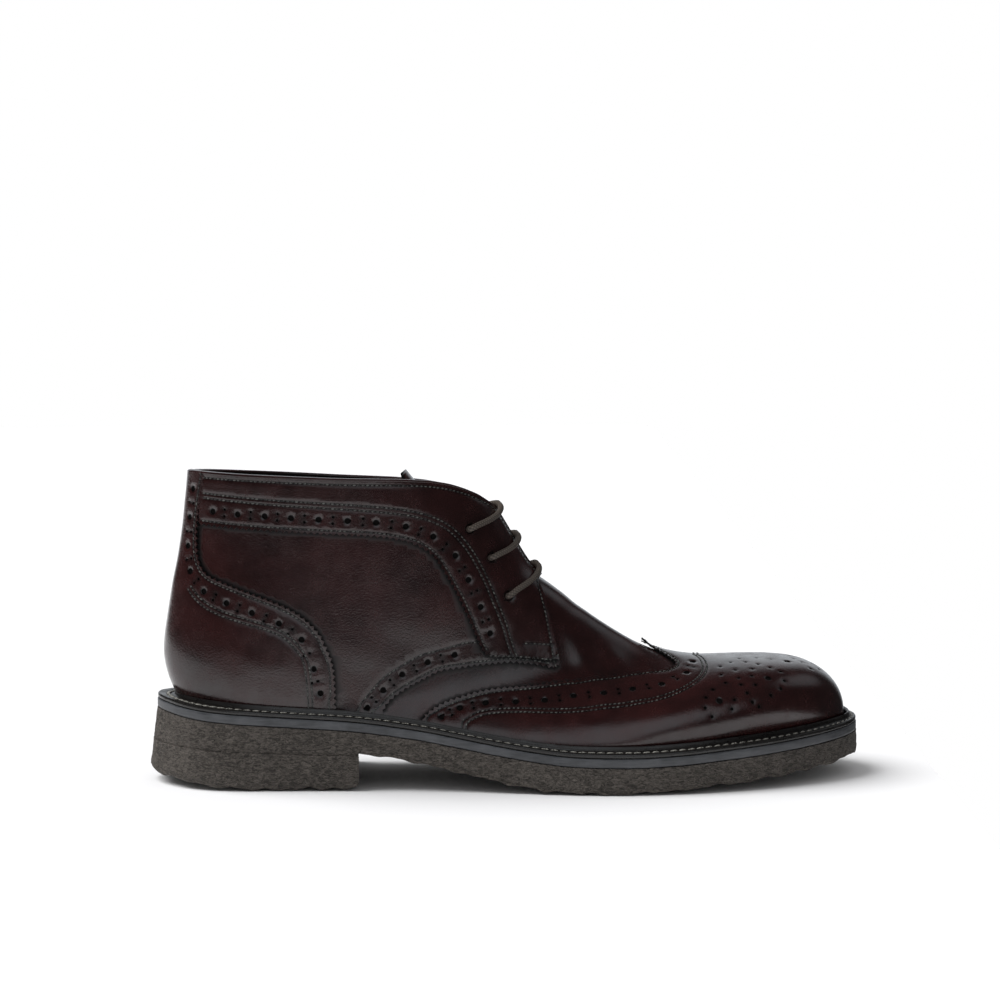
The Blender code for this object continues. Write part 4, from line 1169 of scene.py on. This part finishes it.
# ---- Facings and collar band ----
# One leather on each side over the quarters, from the throat round the ankle to the
# counter's strip. Its lower edge is gimped, with a stitch row, broguing, and a double
# row; a single row follows the collar and the front edge.
FACING_HEM = ((0.562, 0.344), (0.528, 0.347), (0.487, 0.340), (0.466, 0.333), (0.458, 0.360),
              (0.451, 0.407), (0.439, 0.490), (0.425, 0.581), (0.408, 0.670), (0.388, 0.752),
              (0.356, 0.791), (0.307, 0.797), (0.259, 0.791), (0.194, 0.790), (0.129, 0.790),
              (0.075, 0.790))
FACING_DOUBLE = ((0.500, 0.352), (0.498, 0.368), (0.487, 0.480), (0.473, 0.584), (0.457, 0.695),
                 (0.435, 0.804), (0.408, 0.878), (0.372, 0.909), (0.323, 0.914), (0.258, 0.911),
                 (0.162, 0.912), (0.080, 0.915))
FACING_HOLES = ((0.097, 0.860), (0.130, 0.858), (0.166, 0.859), (0.201, 0.859), (0.238, 0.859),
                (0.276, 0.861), (0.315, 0.865), (0.355, 0.863), (0.392, 0.835), (0.422, 0.765),
                (0.440, 0.666), (0.457, 0.555), (0.470, 0.444))
HEM_CORNER = (0.466, 0.345)
BOX_ROW = ((0.520, 0.416), (0.557, 0.419))
CORNER_ROW = ((0.564, 0.372), (0.558, 0.352), (0.530, 0.354), (0.509, 0.353), (0.488, 0.348),
              (0.471, 0.342))
STRIP_EDGE = 0.0775        # share of length where the collar band ends
ROWS_END = STRIP_EDGE + 0.006
FACING_LOW = 0.0011        # above the wood, over the quarters' leather
FACING_TOP = FACING_LOW + OVERLAY
EYELETS = ((0.4955, 0.618), (0.4709, 0.777), (0.4410, 0.890))
EYELET = 0.0021            # radius
DOUBLE = 0.0020            # between the rows of a double row


def cut_at(line, low_share):
    """The part of a line in front of a share of the length."""
    return line[share(surface(*line.T)[:, 0]) > low_share]


def facing_half(drop):
    """Outline of the outer facing: rim, throat, front edge, hem and its back end."""
    rim, down, front = front_line(drop)
    hem, rim = (cut_at(line, STRIP_EDGE) for line in (gimped(seen(FACING_HEM), side=-1), rim))
    back = np.linspace(hem[-1], rim[0], 24)[1:-1]
    return np.concatenate([rim, down, front[:-2], hem[1:], back])


eyelets = [(place, EYELET) for place in placed(EYELETS)]
facing_holes = between_holes(placed(FACING_HOLES))
hem_inside = seen(FACING_HEM)
corner = np.argmin(np.abs(hem_inside - placed((HEM_CORNER,))).sum(1))
facing_rows = [cut_at(row, ROWS_END) for row in (
    beside(hem_inside[corner + 2:], -ROW_IN), seen(FACING_DOUBLE),
    beside(seen(FACING_DOUBLE), -DOUBLE))]
facing_rows += [seen(BOX_ROW), seen(CORNER_ROW)]


def collar_row(drop):
    """The single row along the collar, the throat and the front edge."""
    edge = smoothed(even_places(np.concatenate(front_line(drop)), 0.002), 6)
    return cut_at(beside(edge, -0.0019), ROWS_END)


for side, drop in (("outer", 0.0), ("inner", RIM_DROP)):
    outline = facing_half(drop)
    rows = facing_rows + [collar_row(drop)]
    holes = facing_holes + eyelets
    if side == "inner":
        outline = mirrored(outline)
        rows = [mirrored(row) for row in rows]
        holes = far_holes(holes)
    on_last(side + "_facing_leather", outline, FACING_LOW, OVERLAY, upper_leather, holes=holes,
            rows=rows, stands_for=[side + "_facing"])
    sewn(side + "_facing_stitches", rows, FACING_TOP)
    hole_shade_discs(side + "_facing_hole_shade", [hole for hole in holes if hole[1] < EYELET],
           FACING_LOW + 0.0003)

# ---- Heel counter and back strip ----
# One leather over both quarters' back seam, wide at the welt and narrow at the collar,
# with the same gimped edge, broguing and double row.
COUNTER_EDGE = ((0.088, 1.060), (0.087, 1.010), (0.084, 0.957), (0.080, 0.868), (0.076, 0.736),
                (0.077, 0.652), (0.086, 0.585), (0.112, 0.549), (0.145, 0.516), (0.176, 0.486),
                (0.209, 0.440), (0.239, 0.353), (0.248, 0.297), (0.258, 0.200), (0.260, 0.113),
                (0.261, 0.018), (0.262, -0.060))
COUNTER_DOUBLE = ((0.060, 0.640), (0.057, 0.549), (0.064, 0.493), (0.080, 0.437), (0.102, 0.404),
                  (0.135, 0.377), (0.167, 0.355), (0.192, 0.323), (0.205, 0.280), (0.215, 0.236),
                  (0.220, 0.149), (0.223, 0.022), (0.224, -0.060))
COUNTER_HOLES = ((0.0715, 0.949), (0.0665, 0.819), (0.0635, 0.689), (0.066, 0.578), (0.084, 0.498),
                 (0.114, 0.458), (0.148, 0.425), (0.184, 0.387), (0.214, 0.322), (0.230, 0.195),
                 (0.238, 0.087))
COUNTER_THICK = 0.0012


def counter_half(drop):
    """Outline of the counter's outer half: rim, gimped edge and foot."""
    edge = above_welt(gimped(seen(COUNTER_EDGE), side=-1))
    top = rim_height(drop)
    points = surface(*edge.T)
    edge = edge[points[:, 2] < top(points[:, 0])]
    turns = np.linspace(0, edge[0, 1], 12)
    rim = np.stack([section_at(turns, top), turns], 1)
    foot = welt_line(welt_section(edge[-1]), heel_foot)
    foot[-1, 1] = 0.0
    return np.concatenate([rim, edge, foot])


outer_half, inner_half = counter_half(0.0), counter_half(RIM_DROP)
counter_outline = np.concatenate([outer_half, mirrored(inner_half)[1:-1]])
counter_double = seen(COUNTER_DOUBLE)[14:]
counter_rows = [above_welt(row) for row in (beside(seen(COUNTER_EDGE)[4:], -ROW_IN),
                                            counter_double, beside(counter_double, 0.0019))]
counter_rows += [mirrored(row) for row in counter_rows]
counter_holes = between_holes(placed(COUNTER_HOLES))
counter_holes += far_holes(counter_holes)
on_last("counter_leather", counter_outline, FACING_LOW, COUNTER_THICK, upper_leather,
        holes=counter_holes, rows=counter_rows, stands_for=["heel_counter"])
sewn("counter_stitches", counter_rows, FACING_LOW + COUNTER_THICK)
hole_shade_discs("counter_hole_shade", counter_holes, FACING_LOW + 0.0004)

# The quarters are cut last, because the facings and the counter cast a painted shadow along their
# edges.
quarter_covered = [cut_at(beside(seen(FACING_HEM), -UNDER), STRIP_EDGE),
                   above_welt(beside(seen(COUNTER_EDGE), -UNDER))]
quarter_covered += [mirrored(line) for line in quarter_covered]
on_last("quarters", quarter_outline, 0.00002, QUARTER_STEP, upper_leather, holes=strap_holes,
        rows=quarter_rows, spacing=0.0020, covered=quarter_covered)
sewn("quarter_stitches", quarter_rows, QUARTER_STEP)
hole_shade_discs("strap_hole_shade", strap_holes, 0.00025)

# ---- Wing-tip toe cap ----
# One leather over the toe, with a point on the ridge and a wing back along each side.
# It carries the widest broguing, a double row, and a punched medallion on the toe.
# The lines and holes on top are sections and turns in degrees, as the side view doesn't
# show them well.
CAP_TOP = ((8.98, 180.0), (9.40, 177.0), (9.95, 170.5), (10.50, 163.0), (10.92, 157.0),
           (11.10, 150.0), (10.98, 143.5))
CAP_WING = ((0.700, 0.305), (0.677, 0.298), (0.637, 0.288), (0.597, 0.275), (0.557, 0.257),
            (0.520, 0.232), (0.482, 0.207), (0.456, 0.181), (0.432, 0.146), (0.414, 0.119),
            (0.397, 0.084), (0.382, 0.040), (0.374, -0.060))
CAP_DOUBLE_TOP = ((11.25, 180.0), (11.55, 167.0), (11.85, 157.0), (12.08, 148.0),
                  (12.20, 141.0), (12.25, 132.0), (12.20, 123.5), (12.03, 117.1))
CAP_DOUBLE = ((0.664, 0.190), (0.643, 0.181), (0.611, 0.171), (0.580, 0.158), (0.544, 0.146),
              (0.507, 0.133), (0.476, 0.113), (0.456, 0.093), (0.436, 0.050), (0.425, -0.040))
CAP_HOLES = ((11.40, 161.4), (11.74, 145.6), (11.73, 131.3), (11.45, 124.0), (11.20, 117.8),
             (10.90, 113.0), (10.73, 107.5), (10.47, 103.9), (10.17, 101.0), (10.13, 96.0),
             (10.36, 89.5))
MEDALLION_BIG = ((13.89, 139.1), (14.35, 166.3), (13.29, 117.5))
MEDALLION = (
    (12.40, 156.0), (12.66, 144.9), (12.97, 135.8), (12.60, 164.0), (12.89, 151.3),
    (13.16, 140.9), (12.85, 172.3), (13.36, 133.1), (12.89, 128.6), (12.96, 121.0),
    (13.20, 111.7), (13.51, 103.7), (13.70, 109.1), (13.56, 117.5), (13.68, 123.5),
    (13.97, 113.8), (14.19, 108.5), (13.43, 143.1), (13.33, 152.6), (13.70, 132.0),
    (13.05, 164.7), (13.40, 174.0), (13.43, 160.4), (13.80, 154.2), (13.83, 171.3),
    (14.15, 147.6), (14.37, 134.6), (14.39, 125.0), (14.25, 118.9), (14.91, 169.2),
    (15.43, 175.0), (15.19, 156.0), (15.61, 163.0), (14.67, 176.5))
CAP_LOW = 0.0003           # above the wood
TIP_REACH = 0.0042         # the point curls up off the vamp with wear
TIP_LIFT = 0.0016


def degrees(table):
    """Places from sections and turns in degrees."""
    return np.array([(t, math.radians(w)) for t, w in table])


def through(table):
    """A smooth line through a few places."""
    places = degrees(table)
    run = run_along(surface(*places.T))
    at = np.linspace(0, run[-1], max(4, int(run[-1] / 0.0008)))
    return np.stack([eased(run, places[:, k], 0.0008)(at) for k in (0, 1)], 1)


cap_edge = smoothed(np.concatenate([through(CAP_TOP), seen(CAP_WING)]), 4)
cap_teeth = above_welt(gimped(cap_edge, side=1))
cap_teeth[0] = (CAP_TOP[0][0], math.pi)
cap_foot = welt_line(welt_section(cap_teeth[-1]), toe_foot)
cap_foot[-1, 1] = math.pi
half = np.concatenate([cap_teeth, cap_foot])
cap_outline = np.concatenate([half, mirrored(half, math.pi)[1:-1]])
cap_row = above_welt(beside(cap_edge, ROW_IN))
cap_row[0, 1] = min(cap_row[0, 1], math.pi)
cap_double = np.concatenate([through(CAP_DOUBLE_TOP), above_welt(seen(CAP_DOUBLE))])
cap_double = smoothed(cap_double, 6)
cap_rows = [cap_row, cap_double, above_welt(beside(cap_double, 0.0018))]
cap_rows += [mirrored(row, math.pi) for row in cap_rows]
cap_holes = between_holes(degrees(CAP_HOLES))
cap_holes += [(place, BIG_HOLE) for place in degrees(MEDALLION_BIG)]
cap_holes += [(place, SMALL_HOLE * 1.1) for place in degrees(MEDALLION)]
cap_holes += far_holes(cap_holes, math.pi)
cap_tip = (CAP_TOP[0][0], math.pi)
on_last("toe_cap_leather", cap_outline, CAP_LOW, OVERLAY, upper_leather, holes=cap_holes,
        rows=cap_rows, stands_for=["toe_cap"], curl=(cap_tip, TIP_REACH, TIP_LIFT))
sewn("toe_cap_stitches", cap_rows, CAP_LOW + OVERLAY)
hole_shade_discs("toe_cap_hole_shade", cap_holes, CAP_LOW + 0.0003)

# ---- Wall and lining pulled over ----
# The oxblood wall, with a painted shadow along the edges of the leathers that lie on it, and a thin
# dark leather lining glued inside it. Both are lasted in one closed piece.
wall_covered = [above_welt(beside(seen(QUARTER_HEM), -UNDER)), beside(cap_edge, UNDER)]
wall_covered += [mirrored(wall_covered[0]), mirrored(wall_covered[1], math.pi)]
wall_covered = [np.where(np.array([[0, 1]]) * (line[:, 1:] < 0), line + [0, 2 * math.pi], line)
                for line in wall_covered]
on_last("upper_wall", around_wall, -WALL, WALL, upper_leather, seam=True, spacing=0.0022,
        stands_for=["upper"], covered=wall_covered)
dark_lining = oxblood("dark_lining", (0.030, 0.016, 0.012, 1), (0.010, 0.006, 0.005, 1), 0.5)
on_last("lining", around_wall, -WALL - LINING, LINING - 0.00003, dark_lining, seam=True,
        spacing=0.0034)

# ---- Storm welt ----
# Black waxed leather: a flat strip round the whole boot, with a ridge that hugs the
# upper, and a row of coarse rope-like stitches in the channel between them.
LIP_FAR = 0.0041           # from the last to the ridge's outer side
WELT_TURNS = 900           # steps round the boot
WELT_STITCH = 0.0039       # from one stitch to the next
ROPE_SLANT = 0.22
ROPE_SHAPE = (0.0018, 0.00055, 0.0005)
ROPE_PLACE = 0.62          # share of the flat, in from the edge
ROPE_SUNK = 0.0002

welt_black = Finish("black_welt", Specular_IOR_Level=0.55)
wax = welt_black.grain(420, 4.0, (0.5, 0.5, 1.5))
welt_black.set(Base_Color=welt_black.mix(wax, (0.004, 0.004, 0.004, 1), (0.016, 0.014, 0.013, 1)),
               Roughness=welt_black.spread(wax, 0.3, 0.7, 0.20, 0.42),
               Normal=welt_black.relief(wax, 0.00018, 0.7))

upper_foot = welt_line(heel_foot + 0.001, toe_foot - 0.001, 0.05)
upper_foot = np.concatenate([upper_foot, mirrored(upper_foot, math.pi)])
foot_plan = spaced(ring_closed(surface(*upper_foot.T)[:, :2]), 0.0005)
welt_turns = np.linspace(0, 1, WELT_TURNS + 1)[:-1]
welt_rim = sole_loop(welt_turns, 0.0002, welt_top)
welt_run = np.roll(welt_rim, -1, 0) - np.roll(welt_rim, 1, 0)
welt_in = np.stack([-welt_run[:, 1], welt_run[:, 0]], 1)
welt_in /= np.linalg.norm(welt_in, axis=1)[:, None]


def ring_smoothed(ring, times):
    """A ring whose points are drawn towards their neighbours."""
    for _ in range(times):
        ring = 0.25 * np.roll(ring, 1, 0) + 0.5 * ring + 0.25 * np.roll(ring, -1, 0)
    return ring


def between_rows(at, *tables):
    """Rows of ring-shaped tables at a place between two of them."""
    low = at.astype(int) % len(tables[0])
    part = (at - at.astype(int))[:, None]
    return [table[low] * (1 - part) + table[(low + 1) % len(table)] * part for table in tables]


on_floor = np.array([1, 1, 0])
seat = ring_smoothed(apart(welt_rim * on_floor, tree_of(np.pad(foot_plan, ((0, 0), (0, 1))))), 12)


def on_welt(turn, inward, up):
    """A point on the welt: where round the boot, how far in from its edge, and height."""
    point, towards = between_rows((np.asarray(turn) % 1.0) * WELT_TURNS, welt_rim, welt_in)
    point[:, :2] += towards * np.asarray(inward)[:, None]
    point[:, 2] = welt_top(share(point[:, 0])) + up
    return point


def seat_at(turn):
    """How far the upper stands in from the welt's edge, at a turn."""
    return np.interp((np.asarray(turn) % 1.0) * WELT_TURNS, np.arange(WELT_TURNS + 1),
                     np.append(seat, seat[0]))


WELT_SHAPE = (              # across the strip: share of the flat, metres in, height
    (0.0, 0.0003, -0.0020), (0.0, 0.0000, -0.0016), (0.0, 0.0000, -0.0006),
    (0.0, 0.0004, -0.0001), (0.42, 0.0, 0.0000), (0.52, 0.0, -0.0005), (0.72, 0.0, -0.0005),
    (0.84, 0.0, 0.0000), (1.0, 0.0000, 0.0004), (1.0, 0.0001, 0.0015),
    (1.0, 0.0005, 0.0022), (1.0, 0.0010, 0.0021), (1.0, 0.0014, 0.0014), (1.0, 0.0014, -0.0020),
)


def welt_skin(u, v):
    row, = between_rows(v * len(WELT_SHAPE), np.array(WELT_SHAPE))
    return on_welt(u, row[:, 0] * (seat_at(u) - LIP_FAR) + row[:, 1], row[:, 2])


bm = bmesh.new()
laid_grid(bm, WELT_TURNS, 2 * len(WELT_SHAPE), welt_skin)
shown("storm_welt", closed(bm, 2e-6), welt_black.material, 50,
      stands_for=["welt"])

rope = Finish("welt_rope", Specular_IOR_Level=0.7)
painted_strand_highlight = rope.grain(2400, 2.0)
# The black rope's colour runs up to light grey with noise: painted highlights.
rope.set(Base_Color=rope.mix(rope.spread(painted_strand_highlight, 0.38, 0.62), (0.030, 0.029, 0.026, 1),
                             (0.42, 0.41, 0.37, 1)),
         Roughness=rope.spread(painted_strand_highlight, 0.3, 0.7, 0.25, 0.45))
count = int(run_along(ring_closed(welt_rim))[-1] / WELT_STITCH)
bm = bmesh.new()
for turn in (np.arange(count) + 0.5) / count:
    here = np.array([turn])
    inward = ROPE_PLACE * (seat_at(here) - LIP_FAR)
    point = Vector(on_welt(here, inward, -ROPE_SUNK)[0])
    ahead = Vector(on_welt(here + 0.002, inward, -ROPE_SUNK)[0]) - point
    ahead = Matrix.Rotation(ROPE_SLANT, 3, "Z") @ ahead.normalized()
    side = Vector((0, 0, 1)).cross(ahead).normalized()
    stand = Matrix((ahead, side, ahead.cross(side))).transposed().to_4x4()
    bmesh.ops.create_uvsphere(
        bm, u_segments=8, v_segments=6, radius=1.0,
        matrix=Matrix.Translation(point) @ stand @ Matrix.Diagonal((*ROPE_SHAPE, 1)))
shown("welt_stitches", bm, rope.material, 180)

# ---- Tongue ----
# One soft leather under the facings, folded forward by the ankle. Only a corner of its
# top stands above the collar.
TONGUE_FORWARD = 0.86
TONGUE_LOW = -0.0073       # its inner face, from the outside of the wall
TONGUE_THICK = 0.0021
# Section, and turn away from the ridge.
TONGUE_HALF = ((0.74, 0.0), (0.745, 0.15), (0.79, 0.30), (0.92, 0.42), (1.08, 0.50),
               (1.30, 0.57), (1.80, 0.66), (2.60, 0.76), (3.60, 0.84), (4.80, 0.80),
               (6.20, 0.66), (6.90, 0.40), (7.00, 0.0))
tongue_line = even_places(np.array([(t, math.pi - w) for t, w in TONGUE_HALF]), 0.0016)
tongue_outline = np.concatenate([tongue_line, mirrored(tongue_line, math.pi)[1:-1]])
on_last("tongue_leather", tongue_outline, TONGUE_LOW, TONGUE_THICK, upper_leather,
        lean=TONGUE_FORWARD, spacing=0.0022, stands_for=["tongue"])

# ---- Collar edge ----
# The lining and leathers are turned over at the collar and the throat and sewn down:
# one rolled edge of oxblood calf runs round the whole opening.
BEAD_WIDE = 0.0019
BEAD_HIGH = 0.0008
outer_rim, inner_rim = rim_line(0.0), rim_line(RIM_DROP)
outer_slot, inner_slot = (throat_edge(rim[-1, 0], THROAT_FOOT, 30)[1:]
                          for rim in (outer_rim, inner_rim))
edge_line = np.concatenate([
    outer_rim, outer_slot, [(THROAT_FOOT + 0.05, math.pi)],
    mirrored(np.concatenate([inner_rim[1:], inner_slot]), math.pi)])
packed = np.concatenate([lasted(*edge_line.T, BEAD_HIGH / 2), slopes_at(*edge_line.T)[2] * 1e-4], 1)
packed = spaced(ring_closed(packed), 0.0012)[:-1]
edge_points = ring_smoothed(packed[:, :3], 4)
edge_out = packed[:, 3:] / np.linalg.norm(packed[:, 3:], axis=1)[:, None]
edge_run = np.roll(edge_points, -1, 0) - np.roll(edge_points, 1, 0)
edge_run /= np.linalg.norm(edge_run, axis=1)[:, None]
edge_up = np.cross(edge_run, edge_out)
edge_up /= np.linalg.norm(edge_up, axis=1)[:, None]


def rolled(u, v):
    middle, out, up = between_rows(u * len(edge_points), edge_points, edge_out, edge_up)
    angle = 2 * math.pi * v
    return (middle + out * (BEAD_WIDE * np.cos(angle))[:, None]
            + up * (BEAD_HIGH * np.sin(angle))[:, None])


bm = bmesh.new()
laid_grid(bm, len(edge_points), 14, rolled)
shown("collar_edge", closed(bm, 2e-6), upper_leather, 60)

# ---- Laces ----
# A round woven cord, waxed taupe, criss-crossed over three pairs of eyelets without
# metal. Both ends go down inside the throat.
LACE = 0.0027
LACE_GAP = 0.0006
CAD_WALL = 0.0013          # the upper's thickness in the frame's own solid
TOP_BAR_RISE = -0.75       # sections that the top strand drops on its way across
BRAID = 0.00115            # length of one plait
LACE_STEP = 0.00030        # from one ring of the cord's skin to the next
LACE_SIDES = 20


def across_turn(t, y):
    """Turn at a section where the leather lies y aside of the ridge."""
    turns = np.linspace(math.pi, math.pi / 2, 60)
    points = surface(np.full(60, t), turns)
    away = np.abs(points[:, 1] - points[0, 1])
    return math.pi - math.copysign(np.interp(abs(y), away, math.pi - turns), y)


def lace_path(hand):
    """One half of the lace: out of each eyelet, over the facing, across the throat and
    under the other facing. Hand -1 starts on the outer side."""
    under = -(CAD_WALL + LACE_GAP + LACE / 2)
    over = FACING_TOP + LACE_GAP + LACE / 2
    edge = THROAT_WIDTH / 2
    near, past = edge - LACE / 2, edge + 0.8 * LACE
    upward = [(t, abs(surface(t, w)[1] - surface(t, math.pi)[1])) for t, w in placed(EYELETS)]
    keys = [(upward[0][0], 0.0, under)]
    for i, (t, hole) in enumerate(upward):
        last = i + 1 == len(upward)
        rise = TOP_BAR_RISE if last else upward[i + 1][0] - t
        keys.append((t, hand * (hole - 0.5 * LACE), under))
        keys.append((t, hand * hole, 0.35 * under))
        keys.append((t, hand * hole, 0.75 * over))
        keys.append((t + 0.10 * rise, hand * (hole - 0.6 * LACE), over))
        keys.append((t + 0.50 * rise, hand * past, over))
        keys.append((t + 0.62 * rise, hand * near, over - 0.2 * LACE))
        keys.append((t + 0.74 * rise, 0.0, 0.18 * LACE))
        if last:
            keys.append((t + 0.78 * rise, -0.3 * hand * edge, 0.4 * under))
        else:
            keys.append((t + 0.84 * rise, -hand * near, under + 0.1 * LACE))
            keys.append((t + 0.92 * rise, -hand * past, under))
        hand = -hand
    keys = np.array(keys)
    knots = np.arange(len(keys))
    fine = np.linspace(0, len(keys) - 1, 8 * (len(keys) - 1) + 1)
    t, y, off = (eased(knots, keys[:, k], 0.12)(fine) for k in range(3))
    w = np.array([across_turn(a, -b) for a, b in zip(t, y)])
    return spaced(lasted(t, w, off), LACE_STEP)


cord = Finish("taupe_cord", Roughness=0.62, Specular_IOR_Level=0.35)
plait_valley_shade = cord.attribute("dent_shade_and_rub")
fibre = cord.grain(3500, 2.0)
# Near-black in the valleys between the plaits: painted shade.
cord.set(Base_Color=cord.mix(cord.spread(plait_valley_shade * 0.75 + fibre * 0.25, 0.15, 0.85),
                             (0.150, 0.125, 0.105, 1), (0.020, 0.016, 0.014, 1)))


def corded(name, points, stands_for):
    """A woven cord along points: plaits stand up from it, and its ends are capped."""
    ahead = np.gradient(points, axis=0)
    ahead /= np.linalg.norm(ahead, axis=1)[:, None]
    side = np.cross(ahead[0], (0, 0, 1.0))
    frames = []
    for run in ahead:
        side = side - run * (side @ run)
        side = side / np.linalg.norm(side)
        frames.append((side, np.cross(run, side)))
    frames = np.array(frames)
    run = np.arange(len(points)) * LACE_STEP
    depth = []

    def skin(u, v):
        at = np.round(u * (len(points) - 1)).astype(int)
        angle = 2 * math.pi * v
        end = np.minimum(np.minimum(at, len(points) - 1 - at) / 2.0, 1.0)
        turn = 2 * math.pi * run[at] / (4 * BRAID)
        plait = np.abs(np.sin(2 * (angle + turn))) * np.abs(np.sin(2 * (angle - turn)))
        # Painted shade, full in the valleys between the plaits.
        depth[:] = list(1 - plait)
        radius = (LACE / 2) * (0.90 + 0.10 * plait) * (0.02 + 0.98 * end)
        return (points[at] + frames[at, 0] * (radius * np.cos(angle))[:, None]
                + frames[at, 1] * (radius * np.sin(angle))[:, None])

    bm = bmesh.new()
    layer = bm.verts.layers.float.new("dent_shade_and_rub")
    made = laid_grid(bm, len(points) - 1, LACE_SIDES, skin)
    for vert, value in zip(made, depth):
        vert[layer] = value
    bmesh.ops.remove_doubles(bm, verts=bm.verts, dist=1e-6)
    bmesh.ops.holes_fill(bm, edges=[edge for edge in bm.edges if edge.is_boundary], sides=0)
    bmesh.ops.recalc_face_normals(bm, faces=bm.faces)
    return shown(name, bm, cord.material, 60, stands_for)


corded("lace_from_outer", lace_path(-1), ["laces"])
corded("lace_from_inner", lace_path(1), ())

# ---- Insole ----
# The insole lies in the bottom of the boot under a sock of tan leather. It is the
# frame's own solid, and only its surface is finished here.
sock = oxblood("sock_leather", (0.16, 0.085, 0.045, 1), (0.09, 0.045, 0.024, 1), 0.5)
for piece in bpy.context.scene.objects:
    if piece.type == "MESH" and piece.name.startswith("insole"):
        piece.data.materials.clear()
        piece.data.materials.append(sock)
